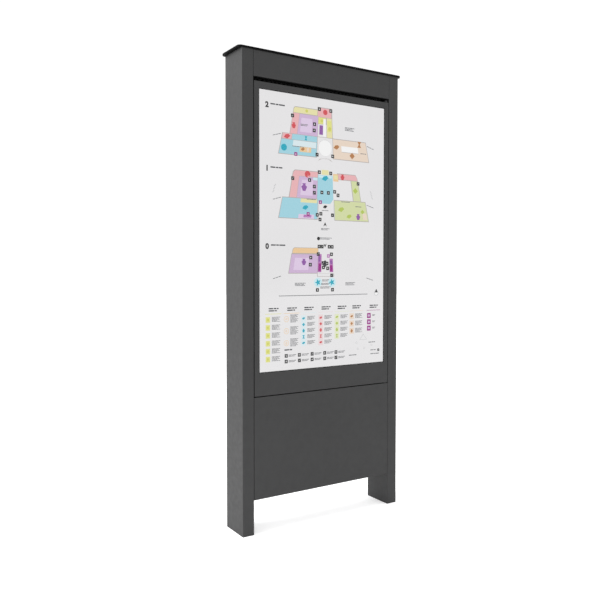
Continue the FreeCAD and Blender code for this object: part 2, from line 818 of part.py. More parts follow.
def service_flap():
    """Folded tray that closes the equipment bay, hung on two pins near its top edge."""
    body = new_body("service_flap")
    tall = "(flap_top - panel_bottom)"
    profile = new_sketch(body, "XZ_Plane")
    rectangle(profile, f"-{FLAP_HALF}", "panel_bottom", f"2 * {FLAP_HALF}", tall)
    tray = pad(body, profile, "return_depth - 0.5", backward=True)
    round_edges(body, tray, 1.2, lambda edge: abs(edge.CenterOfMass.y) < 0.01)
    hollow = new_sketch(body, "XZ_Plane", "-sheet_metal")
    inside = f"({FLAP_HALF} - sheet_metal)"
    rectangle(hollow, f"-{inside}", "panel_bottom + sheet_metal", f"2 * {inside}", f"{tall} - 2 * sheet_metal")
    pocket(body, hollow)
    pins = new_sketch(body, "YZ_Plane")
    circle(pins, "flap_axis_setback", FLAP_AXIS_Z, "flap_pin_radius + running_clearance")
    right = pocket(body, pins, backward=True)
    mirror = body.newObject("PartDesign::Mirrored", "mirror")
    mirror.Originals = [right]
    side_plane = next(item for item in body.Origin.OriginFeatures if item.Role == "YZ_Plane")
    mirror.MirrorPlane = (side_plane, [""])
    body.Tip = mirror
    doc.recompute()
    locks = new_sketch(body, "XY_Plane", "panel_bottom + 10")
    for side in (-1, 1):
        circle(locks, f"{side} * lock_x", "lock_y + body_depth / 2", "lock_radius")
    pocket(body, locks)
    move(body, y=FRONT)


def flap_pivot_pins():
    pins = []
    for start in (f"-{INNER} - 3", f"{INNER} - 4"):
        pins.append(rod("X", start, FLAP_AXIS_Y, FLAP_AXIS_Z, "flap_pin_radius", 7))
    group("flap_pivot_pins", pins)


def lock_housings():
    """Threaded lock bodies with a thin face flange under the flap."""
    housings = []
    for side in (-1, 1):
        x = f"{side} * lock_x"
        shell = rod("Z", x, "lock_y", "panel_bottom", "lock_radius", 18)
        flange = rod("Z", x, "lock_y", "panel_bottom - 1.5", 12, 1.5)
        nut = rod("Z", x, "lock_y", "panel_bottom + sheet_metal", 12, 4)
        bore = rod("Z", x, "lock_y", "panel_bottom - 5", "pivot_radius + running_clearance", 40)
        housings.append(cut(fuse(shell, flange, nut), bore))
    group("lock_housings", housings)


def lock_cam(label, side):
    """Key plug with its cam on the inner end; the cam points back, clear of the tray's upstand."""
    x = f"{side} * lock_x"
    plug = rod("Z", x, "lock_y", "panel_bottom - 1.5", "pivot_radius", 27.5)
    keyway = block(f"{x} - 1", "lock_y - 3.5", "panel_bottom - 3", 2, 7, 12)
    arm = block(f"{x} - 7", "lock_y - 7", "panel_bottom + 18.4", 14, "cam_length + 7", 3)
    nut = rod("Z", x, "lock_y", "panel_bottom + 21.4", 7, 4)
    keep(cut(fuse(plug, arm, nut), keyway), label)


# Cooling


def fan_shelf():
    """Shelf across the cabinet that carries the two exhaust fans."""
    front = -24
    depth = f"{BACK_FRONT} - 3 - ({front})"
    plate = block(f"-{INNER}", front, "shelf_height", f"2 * {INNER}", depth, "shelf_thickness")
    flange = block(-340, f"{BACK_FRONT} - 5", "shelf_height - 18", 680, 2, 18)
    throats = []
    for x in ("-fan_x", "fan_x"):
        throats.append(rod("Z", x, "fan_y", "shelf_height - 5", "fan_bore_radius", 20))
    keep(cut(fuse(plate, flange), *throats), "fan_shelf")


def fan_frames():
    """Square fan housings with a motor seat on three struts."""
    frames = []
    base = "(shelf_height + shelf_thickness)"
    for side in (-1, 1):
        x = f"({side} * fan_x)"
        shell = block(f"{x} - fan_size / 2", "fan_y - fan_size / 2", base, "fan_size", "fan_size", "fan_depth")
        throat = rod("Z", x, "fan_y", f"{base} - 5", "fan_bore_radius", 40)
        corners = []
        for across in (-41.3, 41.3):
            for along in (-41.3, 41.3):
                corners.append(rod("Z", f"{x} + {across}", f"fan_y + {along}", f"{base} - 5", 2.2, 40))
        seat = rod("Z", x, "fan_y", base, 17, 3)
        strut = block(f"{x} - fan_bore_radius - 1", "fan_y - 3", base, "2 * fan_bore_radius + 2", 6, 3)
        cross = block(f"{x} - 3", "fan_y - fan_bore_radius - 1", base, 6, "2 * fan_bore_radius + 2", 3)
        spindle = rod("Z", x, "fan_y", base, 2, 18)
        frames.append(fuse(cut(shell, throat, *corners), seat, strut, cross, spindle))
    group("fan_frames", frames)


def fan_rotor(label, side):
    """Hub cup with seven pitched blades that turns on the frame's spindle."""
    x = f"({side} * fan_x)"
    base = "(shelf_height + shelf_thickness + 4)"
    hub = rod("Z", x, "fan_y", base, 18, 19)
    blades = []
    centre = V(side * number("fan_x"), number("fan_y"), number("shelf_height") + 15.5)
    pitch = FreeCAD.Rotation(V(1, 0, 0), 38)
    for index in range(7):
        blade = doc.addObject("Part::Box", "blade")
        bind(blade, Length="fan_bore_radius - 18", Width=22, Height=1.6)
        spin = FreeCAD.Rotation(V(0, 0, 1), index * 360 / 7)
        seat = FreeCAD.Placement(V(16, 0, 0), pitch) * FreeCAD.Placement(V(0, -11, -0.8), FreeCAD.Rotation())
        blade.Placement = FreeCAD.Placement(centre, spin) * seat
        blades.append(blade)
    bore = rod("Z", x, "fan_y", f"{base} - 5", "2 + running_clearance", 21)
    keep(cut(fuse(hub, *blades), bore), label)


# Electrical equipment


def equipment_plate():
    """Mounting plate with side flanges that reach back to the rear jambs."""
    reach = f"{BACK_FRONT} - 3 - equipment_face"
    face = block(-PLATE_X, "equipment_face", PLATE_Z, 2 * PLATE_X, "sheet_metal", 330)
    sides = (-PLATE_X, f"{PLATE_X} - sheet_metal")
    flanges = [block(x, "equipment_face", PLATE_Z, "sheet_metal", reach, 330) for x in sides]
    keep(fuse(face, *flanges), "equipment_plate")


def din_rail():
    """Top-hat rail, 35 mm wide and 7.5 mm deep."""
    body = new_body("din_rail")
    profile = new_sketch(body, "YZ_Plane")
    outline(profile, [
        (0, 0), (1, 0), (1, 4), (7.5, 4), (7.5, 31), (1, 31), (1, 35), (0, 35),
        (0, 30), (6.5, 30), (6.5, 5), (0, 5),
    ])
    pad(body, profile, 250)
    move(body, x=-320, y=RAIL_FACE, z=422)


def circuit_breaker():
    """Two-pole breaker with a stepped front and a slot for its toggle."""
    low = block(-310, f"{RAIL_FACE} - 44", 397, 36, 44, 85)
    nose = block(-310, f"{RAIL_FACE} - 60", 417, 36, 16, 45)
    slot = block(-301, f"{RAIL_FACE} - 61", 424, 18, 15, 31)
    keep(cut(fuse(low, nose), slot), "circuit_breaker")


def breaker_toggle():
    """Linked toggle, drawn in its upper position."""
    body = new_body("breaker_toggle")
    profile = new_sketch(body, "YZ_Plane")
    outline(profile, [(-4, -3), (4, -3), (4, 3), (-2, 5), (-14, 12), (-16, 8), (-5, 1)])
    pad(body, profile, 16)
    move(body, x=-300, y=f"{RAIL_FACE} - 53", z=439.5)


def terminal_blocks():
    """Row of rail-mounted terminals with screw wells."""
    blocks = []
    for index in range(10):
        x = -250 + 8 * index
        shell = block(x, f"{RAIL_FACE} - 36", 414, 7.6, 36, 52)
        wells = [rod("Y", x + 3.8, f"{RAIL_FACE} - 40", z, 2.2, 12) for z in (424, 456)]
        blocks.append(cut(shell, *wells))
    group("terminal_blocks", blocks)


def power_supply():
    """Enclosed supply with a slotted cover."""
    shell = block(-150, "equipment_face - 50", 215, 215, 50, 114)
    hollow = block(-148.5, "equipment_face - 48.5", 216.5, 212, 47, 111)
    slots = []
    for row in range(5):
        for column in range(8):
            slots.append(block(-138 + 24 * column, "equipment_face - 52", 235 + 17 * row, 14, 6, 5))
    keep(cut(shell, hollow, *slots), "power_supply")


def media_player():
    """Fanless computer with a finned cover and its sockets underneath."""
    shell = block(100, "equipment_face - 45", 235, 200, 45, 150)
    grooves = [block(110 + 12 * index, "equipment_face - 46", 234, 7, 12, 152) for index in range(15)]
    sockets = [block(x, "equipment_face - 24", 230, 16, 8, 14) for x in (150, 175, 200, 235)]
    button_seat = rod("Z", 120, "equipment_face - 20", 230, 5.3, 12)
    keep(cut(shell, button_seat, *grooves, *sockets), "media_player")


def player_power_button():
    keep(rod("Z", 120, "equipment_face - 20", 233, 5, 6), "player_power_button")


def cable_grommet():
    """Rubber grommet where the mains cable leaves the left post."""
    body = new_body("cable_grommet")
    profile = new_sketch(body, "XY_Plane")
    outline(profile, [
        (-1.5, 8), (4.5, 8), (4.5, 15), (3, 15), (3, 12), (0, 12), (0, 15), (-1.5, 15),
    ])
    turned = body.newObject("PartDesign::Revolution", "turned")
    turned.Profile = profile
    turned.ReferenceAxis = (profile, ["H_Axis"])
    turned.Angle = 360
    doc.recompute()
    move(body, x=f"-{INNER} - 3", y=30, z=260)


def check_and_write():
    """Stop on any failed object, then write one file per sub-part."""
    doc.recompute()
    for item in doc.Objects:
        if "Invalid" in item.State or "Error" in item.State:
            raise ValueError(f"{item.Label} failed: {item.State}")
    for item in subparts:
        if item.Shape.isNull() or not item.Shape.isValid():
            raise ValueError(f"{item.Label} has no valid shape")
    os.makedirs("parts", exist_ok=True)
    for item in subparts:
        item.Shape.exportStep(os.path.join("parts", f"{item.Label}.step"))
        size = item.Shape.BoundBox
        extents = f"{size.XLength:.1f} x {size.YLength:.1f} x {size.ZLength:.1f}"
        print(f"{item.Label}: {len(item.Shape.Solids)} solid(s), {extents}")
    print(f"{len(subparts)} sub-parts")


def main():
    fill_sheet()
    for side, name in ((-1, "left"), (1, "right")):
        post(f"{name}_post", side)
        foot_plate(f"{name}_base_plate", side)
        post_head(f"{name}_post_head", side)
        foot_cover(f"{name}_foot_cover", side)
        lock_cam(f"{name}_lock_cam", side)
        fan_rotor(f"{name}_fan_rotor", side)
    rail("top_rail", -45, 1975, 30, 40)
    rail("mid_rail", -8, 550, 30, 40)
    floor_tray()
    intake_filter()
    top_cap()
    cap_screws()
    header_panel()
    vent_grille()
    rear_panel()
    rear_jambs()
    rear_panel_screws()
    foot_cover_screws()
    pivot_bracket("lower_pivot_bracket", "door_bottom - 3.2", 2.5, "door_bottom - 0.7")
    pivot_bracket("upper_pivot_bracket", "door_top + 2", 4, "door_top + 6")
    pivot_pins()
    pivot_bushes()
    thrust_washer()
    door_frame()
    touch_glass()
    glass_gasket()
    display_panel()
    display_housing()
    display_rails()
    display_screws()
    display_driver_box()
    glass_clamps()
    touch_controller()
    door_claws()
    latch_bar()
    latch_guides()
    latch_lever()
    latch_lever_pin()
    service_flap()
    flap_pivot_pins()
    lock_housings()
    fan_shelf()
    fan_frames()
    equipment_plate()
    din_rail()
    circuit_breaker()
    breaker_toggle()
    terminal_blocks()
    power_supply()
    media_player()
    player_power_button()
    cable_grommet()
    check_and_write()


main()
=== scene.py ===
"""Looks of the free-standing touchscreen kiosk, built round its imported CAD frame. Lengths are metres."""

import math

import bmesh
import bpy
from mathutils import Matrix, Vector


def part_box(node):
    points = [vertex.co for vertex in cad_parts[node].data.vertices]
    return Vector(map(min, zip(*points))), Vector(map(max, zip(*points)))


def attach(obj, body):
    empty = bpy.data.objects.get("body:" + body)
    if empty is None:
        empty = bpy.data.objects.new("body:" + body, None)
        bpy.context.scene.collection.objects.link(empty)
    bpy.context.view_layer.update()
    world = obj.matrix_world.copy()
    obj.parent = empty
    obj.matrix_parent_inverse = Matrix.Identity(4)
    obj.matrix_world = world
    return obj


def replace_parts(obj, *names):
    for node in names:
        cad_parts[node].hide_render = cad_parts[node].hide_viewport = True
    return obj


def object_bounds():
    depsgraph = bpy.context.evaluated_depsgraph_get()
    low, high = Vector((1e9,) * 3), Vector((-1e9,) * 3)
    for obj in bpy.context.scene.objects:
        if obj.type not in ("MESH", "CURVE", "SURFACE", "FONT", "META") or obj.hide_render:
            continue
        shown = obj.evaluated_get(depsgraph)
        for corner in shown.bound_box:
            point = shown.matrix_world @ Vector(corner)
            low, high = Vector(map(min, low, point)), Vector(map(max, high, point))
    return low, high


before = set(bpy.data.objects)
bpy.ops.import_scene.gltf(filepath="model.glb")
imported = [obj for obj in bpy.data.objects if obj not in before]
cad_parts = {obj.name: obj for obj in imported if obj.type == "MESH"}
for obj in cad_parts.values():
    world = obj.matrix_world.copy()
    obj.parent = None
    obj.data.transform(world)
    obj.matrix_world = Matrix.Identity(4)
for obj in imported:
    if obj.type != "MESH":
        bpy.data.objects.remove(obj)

CAD_LOW, CAD_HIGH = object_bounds()
MM = 0.001

# Camera: where it stands, how it is turned, and its lens on a 36 mm sensor.
CAMERA_PLACE = (-1.7697, -2.6268, 1.1402)
CAMERA_YAW = -0.5624
CAMERA_PITCH = -0.0357
LENS_MM = 41.602

# Studio.
SKY_STRENGTH = 1.05
FLOOR_COLOUR = 0.97
FLOOR_GLOW = 0.35
FLOOR_RADIUS = 30.0

# The lit picture inside the touch glass, 16:9 upright.
PICTURE_WIDTH = 0.6804
PICTURE_HEIGHT = PICTURE_WIDTH * 16 / 9
INK_LAYER = 0.12 * MM
GLASS_PASSES = 0.92
GLASS_REFLECTS = 0.06

WHITE = (1.0, 1.0, 1.0)
BLACK = (0.0, 0.0, 0.0)

# Colours of the picture, as they look on the screen.
INKS = {
    "ground": "#e2e1e2",
    "white": "#efefef",
    "wall": "#b3adab",
    "cyan": "#a3d0dc",
    "cyan_pale": "#c8e4ea",
    "cyan_faint": "#d6e4e8",
    "teal": "#3ea9bd",
    "yellow": "#e2dcab",
    "lime": "#dcdc8c",
    "mustard": "#cdcd72",
    "pink": "#e4b3b6",
    "pink_faint": "#e4d3d4",
    "red": "#cf6166",
    "lilac": "#ccb4d2",
    "lilac_pale": "#dac8e0",
    "violet": "#9468a6",
    "mauve": "#b57fb4",
    "peach": "#e4d3c3",
    "orange": "#e6c69c",
    "brown": "#b5845f",
    "green": "#d0d7a8",
    "green_faint": "#dde1c4",
    "leaf": "#b3c468",
    "magenta": "#9c4489",
    "black": "#1c1c1d",
    "title": "#56575a",
    "text": "#7b7c7f",
    "faint": "#c2c3c4",
}


def linear(hex_code):
    """Linear RGB of a screen colour such as "#a4d3de"."""
    parts = [int(hex_code[i : i + 2], 16) / 255 for i in (1, 3, 5)]
    return [p / 12.92 if p <= 0.04045 else ((p + 0.055) / 1.055) ** 2.4 for p in parts]


# Materials ------------------------------------------------------------------


class Look:
    """A Principled material with helpers for the patterns that vary it. Patterns are in object space."""

    def __init__(self, name, colour, roughness, metallic=0.0, specular=0.5):
        self.material = bpy.data.materials.new("kiosk_" + name)
        self.material.use_nodes = True
        self.tree = self.material.node_tree
        self.shader = self.tree.nodes["Principled BSDF"]
        self.colour = colour
        self.set("Base Color", (*colour, 1.0))
        self.set("Roughness", roughness)
        self.set("Metallic", metallic)
        self.set("Specular IOR Level", specular)
        self.coordinates = self.node("ShaderNodeTexCoord").outputs["Object"]

    def set(self, socket, value):
        self.shader.inputs[socket].default_value = value

    def node(self, kind, **values):
        made = self.tree.nodes.new(kind)
        for name, value in values.items():
            setattr(made, name, value)
        return made

    def link(self, source, target):
        self.tree.links.new(source, target)

    def stretched(self, stretch):
        mapping = self.node("ShaderNodeMapping")
        mapping.inputs["Scale"].default_value = stretch
        self.link(self.coordinates, mapping.inputs["Vector"])
        return mapping.outputs["Vector"]

    def noise(self, per_metre, detail=2.0, stretch=(1, 1, 1)):
        made = self.node("ShaderNodeTexNoise")
        made.inputs["Scale"].default_value = per_metre
        made.inputs["Detail"].default_value = detail
        self.link(self.stretched(stretch), made.inputs["Vector"])
        return made.outputs["Fac"]

    def cells(self, per_metre):
        made = self.node("ShaderNodeTexVoronoi")
        made.inputs["Scale"].default_value = per_metre
        self.link(self.coordinates, made.inputs["Vector"])
        return made.outputs["Color"]

    def between(self, source, low, high, start=0.3, end=0.7):
        made = self.node("ShaderNodeMapRange")
        limits = {"From Min": start, "From Max": end, "To Min": low, "To Max": high}
        for name, value in limits.items():
            made.inputs[name].default_value = value
        self.link(source, made.inputs["Value"])
        return made.outputs["Result"]

    def mottle(self, source, amount):
        """Colour that strays by amount either way of the material's own."""
        made = self.node("ShaderNodeMix", data_type="RGBA")
        made.inputs["A"].default_value = (*[c * (1 - amount) for c in self.colour], 1)
        made.inputs["B"].default_value = (*[c * (1 + amount) for c in self.colour], 1)
        self.link(self.between(source, 0.0, 1.0), made.inputs["Factor"])
        self.link(made.outputs["Result"], self.shader.inputs["Base Color"])
        return self

    def roughen(self, source, low, high):
        self.link(self.between(source, low, high), self.shader.inputs["Roughness"])
        return self

    def bump(self, source, height):
        made = self.node("ShaderNodeBump")
        made.inputs["Distance"].default_value = height
        self.link(source, made.inputs["Height"])
        if self.shader.inputs["Normal"].is_linked:
            before = self.shader.inputs["Normal"].links[0].from_socket
            self.link(before, made.inputs["Normal"])
        self.link(made.outputs["Normal"], self.shader.inputs["Normal"])
        return self


def powder_coat(name, colour, specular):
    """Fine-texture powder coat: orange peel about a millimetre across, and a faint unevenness."""
    look = Look(name, colour, 0.55, specular=specular)
    look.mottle(look.noise(3.0, 3.0), 0.04)
    look.roughen(look.noise(45.0, 3.0), 0.50, 0.62)
    look.bump(look.noise(900.0, 1.0), 0.012 * MM)
    look.bump(look.noise(260.0, 1.0), 0.015 * MM)
    return look.material


def zinc(name, colour):
    """Zinc-plated sheet with its soft spangle and rolling marks."""
    look = Look(name, colour, 0.5, metallic=1.0)
    look.mottle(look.cells(140.0), 0.05)
    look.roughen(look.noise(60.0, 3.0), 0.46, 0.56)
    look.bump(look.noise(500.0, 2.0, (1, 1, 0.15)), 0.008 * MM)
    return look.material


def turned(name, colour, low, high):
    """Machined or drawn metal with fine tool marks."""
    look = Look(name, colour, low, metallic=1.0)
    look.mottle(look.noise(120.0, 3.0), 0.08)
    look.roughen(look.noise(700.0, 2.0, (1, 1, 6)), low, high)
    look.bump(look.noise(1600.0, 1.0, (0.2, 0.2, 1)), 0.004 * MM)
    return look.material


def plastic(name, colour, roughness):
    """Moulded plastic with a spark-eroded grain."""
    look = Look(name, colour, roughness, specular=0.4)
    look.mottle(look.noise(25.0, 2.0), 0.06)
    look.roughen(look.noise(180.0, 2.0), roughness - 0.06, roughness + 0.06)
    look.bump(look.noise(1800.0, 1.0), 0.015 * MM)
    return look.material


def rubber(name, colour):
    look = Look(name, colour, 0.8, specular=0.25)
    look.mottle(look.noise(60.0, 3.0), 0.15)
    look.roughen(look.noise(300.0), 0.72, 0.88)
    look.bump(look.noise(1200.0, 2.0), 0.02 * MM)
    return look.material


def touch_glass(name):
    """Clear cover glass with an etched surface that breaks up reflections."""
    look = Look(name, WHITE, 0.1)
    look.set("Transmission Weight", 1.0)
    look.set("IOR", 1.5)
    look.roughen(look.noise(4.0, 2.0), 0.08, 0.12)
    return look.material


def lit(name, colour):
    """One flat colour of the lit picture, allowing for the glass in front of it."""
    shown = [max(0.0, (c - GLASS_REFLECTS) / GLASS_PASSES) for c in colour]
    look = Look(name, BLACK, 0.5, specular=0.1)
    look.set("Emission Color", (*shown, 1.0))
    look.set("Emission Strength", 1.0)
    return look


def backlit_ground():
    """The picture's ground, with a backlight that is a trace weaker in its clouds."""
    look = lit("ink_ground", linear(INKS["ground"]))
    base = look.shader.inputs["Emission Color"].default_value[:3]
    blend = look.node("ShaderNodeMix", data_type="RGBA")
    blend.inputs["A"].default_value = (*[c * 0.985 for c in base], 1)
    blend.inputs["B"].default_value = (*[c * 1.015 for c in base], 1)
    clouds = look.between(look.noise(2.2, 1.0), 0.0, 1.0)
    look.link(clouds, blend.inputs["Factor"])
    look.link(blend.outputs["Result"], look.shader.inputs["Emission Color"])
    return look.material


def make_looks():
    """A material for each of the record's slots."""
    return {
        "body_paint": powder_coat("body_paint", (0.0285, 0.0285, 0.029), 0.3),
        "cap_paint": powder_coat("cap_paint", (0.003, 0.003, 0.0032), 0.05),
        "black_steel": powder_coat("black_steel", (0.006, 0.006, 0.006), 0.15),
        "zinc_steel": zinc("zinc_steel", (0.33, 0.335, 0.345)),
        "bright_steel": turned("bright_steel", (0.56, 0.56, 0.57), 0.18, 0.32),
        "screw_steel": turned("screw_steel", (0.055, 0.055, 0.058), 0.34, 0.48),
        "lever_paint": powder_coat("lever_paint", (0.35, 0.03, 0.02), 0.4),
        "screen_glass": touch_glass("screen_glass"),
        "seal_rubber": rubber("seal_rubber", (0.012, 0.012, 0.012)),
        "display_face": plastic("display_face", (0.01, 0.01, 0.011), 0.35),
        "display_case": zinc("display_case", (0.26, 0.262, 0.268)),
        "equipment_case": plastic("equipment_case", (0.05, 0.05, 0.054), 0.42),
        "black_plastic": plastic("black_plastic", (0.016, 0.016, 0.016), 0.5),
        "grey_plastic": plastic("grey_plastic", (0.42, 0.42, 0.41), 0.45),
        "button_plastic": plastic("button_plastic", (0.05, 0.25, 0.50), 0.3),
    }


def dress_cad_nodes(looks):
    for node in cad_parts.values():
        for slot in node.material_slots:
            slot.material = looks[slot.material.name]
    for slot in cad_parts["cap_screws"].material_slots:  # painted over with the cap
        slot.material = looks["cap_paint"]


# Fittings too small for the CAD frame --------------------------------------

OUTLINE_STEPS = 24
WIRE_STEPS = 8
SIXTH = math.pi / 3

# How far from the centre an outline of some size runs in the direction of angle.
OUTLINES = {
    "round": lambda angle, size: size,
    "hexagon": lambda angle, size: size * math.cos(SIXTH / 2) / math.cos(angle % SIXTH - SIXTH / 2),
    "slot": lambda angle, size: min(size, size * 0.2 / max(abs(math.sin(angle)), 0.001)),
}

FRONTWARD = (0, -1, 0)
REARWARD = (0, 1, 0)
UPWARD = (0, 0, 1)

# Sizes of the fittings, in millimetres.
FAN_HOLE_OFFSET = 41.3
GUARD_WIRE = 1.6
GUARD_RINGS = (12, 20, 28, 36, 43.5)
TERMINALS = 10
TERMINAL_PITCH = 8
BARRIER_WAYS = 7
BARRIER_PITCH = 14
PORT_PLACES = (50, 75, 100, 135)
PORT_WALL = 0.6
HOUSING_SCREW_INSET = 12
HOUSING_SCREW_ROWS = 9
HOUSING_PAD = 3  # how far the housing's pads for the rails stand off its back
RIDGE_HEIGHTS = (0.16, 0.24, 0.38, 0.62, 0.76, 0.84)  # shares of the housing's height

# The rear panel's groups of slots.
SLOT_GROUPS = 4
SLOTS_START = -315
SLOTS_PITCH = 170
SLOTS_WIDTH = 120
SLOTS_LOW = 640
SLOTS_HIGH = 826

# The flat conductors' way from the driver box to the housing, as distance off the housing and height.
RIBBON_PATH = [(10, -1), (10.4, 3), (10.6, 9), (9.2, 16), (5.6, 23), (2.6, 30), (1.6, 38), (1.4, 50)]
RIBBON_THICKNESS = 0.4


class Fitting:
    """Small closed solids gathered into one piece. Lengths are millimetres in the object's own frame."""

    def __init__(self):
        self.mesh = bmesh.new()

    def skin(self, rings, closed=False):
        """Walls between rings of places, with end faces unless the last ring meets the first."""
        loops = [[self.mesh.verts.new(Vector(place) * MM) for place in ring] for ring in rings]
        pairs = list(zip(loops, loops[1:] + loops[:1]))
        for near, far in pairs if closed else pairs[:-1]:
            for i in range(len(near)):
                j = (i + 1) % len(near)
                self.mesh.faces.new([near[i], near[j], far[j], far[i]])
        if not closed:
            self.mesh.faces.new(loops[0][::-1])
            self.mesh.faces.new(loops[-1])

    def box(self, low, high, rounding=0.4):
        """A block with rounded edges."""
        made = bmesh.ops.create_cube(self.mesh, size=1.0)["verts"]
        for vert in made:
            vert.co = [(low[i] + (vert.co[i] + 0.5) * (high[i] - low[i])) * MM for i in range(3)]
        edges = list(dict.fromkeys(edge for vert in made for edge in vert.link_edges))
        bmesh.ops.bevel(self.mesh, geom=edges, offset=rounding * MM, segments=2, affect="EDGES", profile=0.5)

    def turned(self, place, direction, profile):
        """Rings stacked along direction from place: profile holds each one's size, height and outline."""
        turn = Vector(direction).to_track_quat("Z", "Y")
        rings = []
        for size, height, outline in profile:
            ring = []
            for i in range(OUTLINE_STEPS):
                angle = i * 2 * math.pi / OUTLINE_STEPS
                reach = OUTLINES[outline](angle, size)
                flat = Vector((reach * math.cos(angle), reach * math.sin(angle), height))
                ring.append(Vector(place) + turn @ flat)
            rings.append(ring)
        self.skin(rings)

    def screw(self, place, direction, radius, height, socket="hexagon"):
        """A button head standing on place, with a recess for its tool."""
        self.turned(place, direction, [
            (radius, 0, "round"),
            (radius, height * 0.2, "round"),
            (radius * 0.93, height * 0.55, "round"),
            (radius * 0.78, height * 0.85, "round"),
            (radius * 0.58, height, "round"),
            (radius * 0.42, height, socket),
            (radius * 0.42, height * 0.45, socket),
        ])

    def wire(self, start, end):
        """A straight guard wire."""
        along = end - start
        self.turned(start, along, [(GUARD_WIRE / 2, 0, "round"), (GUARD_WIRE / 2, along.length, "round")])

    def hoop(self, centre, radius):
        """A ring of guard wire that lies flat."""
        rings = []
        for i in range(2 * OUTLINE_STEPS):
            angle = i * math.pi / OUTLINE_STEPS
            ring = []
            for k in range(WIRE_STEPS):
                around = k * 2 * math.pi / WIRE_STEPS
                reach = radius + GUARD_WIRE / 2 * math.cos(around)
                lift = GUARD_WIRE / 2 * math.sin(around)
                ring.append(centre + Vector((reach * math.cos(angle), reach * math.sin(angle), lift)))
            rings.append(ring)
        self.skin(rings, closed=True)

    def bead(self, x0, x1, y, z, radius, height):
        """A long low ridge pressed out of a sheet that faces +Y."""
        profile = [(radius, -0.2), (radius, 0.0), (radius * 0.8, height * 0.7), (radius * 0.45, height)]
        rings = []
        for swell, rise in profile:
            ring = []
            for i in range(OUTLINE_STEPS):
                angle = (i + 0.5) * 2 * math.pi / OUTLINE_STEPS
                middle = x1 if math.cos(angle) > 0 else x0
                ring.append((middle + swell * math.cos(angle), y + rise, z + swell * math.sin(angle)))
            rings.append(ring)
        self.skin(rings)

    def ribbon(self, x0, x1, path):
        """A flat flexible conductor: path holds y, z places down its middle."""
        rings = []
        for i, (y, z) in enumerate(path):
            before, after = path[max(i - 1, 0)], path[min(i + 1, len(path) - 1)]
            along = Vector((0, after[0] - before[0], after[1] - before[1])).normalized()
            out = along.cross(Vector((1, 0, 0))) * RIBBON_THICKNESS / 2
            middle = Vector((0, y, z))
            low, high = middle - out, middle + out
            rings.append([(x0, *low.yz), (x1, *low.yz), (x1, *high.yz), (x0, *high.yz)])
        self.skin(rings)

    def finish(self, name, body, slot, looks):
        bmesh.ops.recalc_face_normals(self.mesh, faces=self.mesh.faces)
        data = bpy.data.meshes.new(name)
        self.mesh.to_mesh(data)
        self.mesh.free()
        data.materials.append(looks[slot])
        piece = bpy.data.objects.new(name, data)
        bpy.context.scene.collection.objects.link(piece)
        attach(piece, body)
        return piece


def box_in_mm(node_name):
    """The low and high corners of a CAD node, in millimetres."""
    low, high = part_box(node_name)
    return low / MM, high / MM


def inset_corners(low, high, inset):
    """The four x, z places that lie inset from the corners of a box's front."""
    return [(x, z) for x in (low.x + inset, high.x - inset) for z in (low.z + inset, high.z - inset)]


def separate_solids(node):
    """The separate solids of a CAD node, each as a list of places in millimetres."""
    mesh = bmesh.new()
    mesh.from_mesh(node.data)
    bmesh.ops.remove_doubles(mesh, verts=mesh.verts, dist=0.01 * MM)
    waiting = set(mesh.verts)
    found = []
    while waiting:
        reached = [waiting.pop()]
        solid = []
        while reached:
            vert = reached.pop()
            solid.append(vert.co / MM)
            near = {edge.other_vert(vert) for edge in vert.link_edges} & waiting
            waiting -= near
            reached.extend(near)
        found.append(solid)
    mesh.free()
    return sorted(found, key=lambda solid: tuple(round(value, 3) for value in solid_middle(solid)))


def solid_middle(solid):
    """The middle of a solid's box."""
    return [(min(p[i] for p in solid) + max(p[i] for p in solid)) / 2 for i in range(3)]


def dress_screws(node_name, body, looks):
    """Screws with real heads and recesses in the places of a CAD node's plain ones, which face +Y."""
    piece = Fitting()
    for solid in separate_solids(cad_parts[node_name]):
        x, _, z = solid_middle(solid)
        reach = [math.hypot(place.x - x, place.z - z) for place in solid]
        radius = max(reach)
        shank = min(r for r in reach if r > 0.1)
        seat = min(place.y for place, r in zip(solid, reach) if r > radius * 0.75)
        tail, top = min(place.y for place in solid), max(place.y for place in solid)
        if seat - tail > 0.5:
            length = seat - tail + 0.1
            profile = [(shank * 0.9, 0, "round"), (shank, 0.6, "round"), (shank, length, "round")]
            piece.turned((x, tail, z), REARWARD, profile)
        piece.screw((x, seat, z), REARWARD, radius, top - seat)
    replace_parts(piece.finish("detailed_" + node_name, body, "screw_steel", looks), node_name)


def fan_guards(looks):
    """Wire guards over the exhaust fans, and the screws that hold them."""
    guards, screws = Fitting(), Fitting()
    low, high = box_in_mm("fan_frames")
    size = high.y - low.y
    for x in (low.x + size / 2, high.x - size / 2):
        y = (low.y + high.y) / 2
        for radius in GUARD_RINGS:
            guards.hoop(Vector((x, y, high.z + 2.6)), radius)
        for across in (-1, 1):
            for along in (-1, 1):
                corner = Vector((x + FAN_HOLE_OFFSET * across, y + FAN_HOLE_OFFSET * along, high.z + 0.9))
                inner = Vector((x + 7.5 * across, y + 7.5 * along, high.z + 0.9))
                guards.wire(inner, corner.lerp(inner, 0.07))
                guards.hoop(corner, 3.2)
                screws.screw(corner + Vector((0, 0, 0.7)), UPWARD, 4.0, 2.2)
    guards.finish("fan_guards", "cabinet", "bright_steel", looks)
    screws.finish("fan_guard_screws", "cabinet", "screw_steel", looks)


def terminal_screws(looks):
    """Slotted screws at the bottom of the terminals' wells."""
    screws = Fitting()
    low, high = box_in_mm("terminal_blocks")
    for index in range(TERMINALS):
        x = low.x + 3.8 + TERMINAL_PITCH * index
        for z in (low.z + 10, high.z - 10):
            screws.screw((x, low.y + 8.0, z), FRONTWARD, 2.0, 1.6, "slot")
    screws.finish("terminal_screws", "cabinet", "bright_steel", looks)


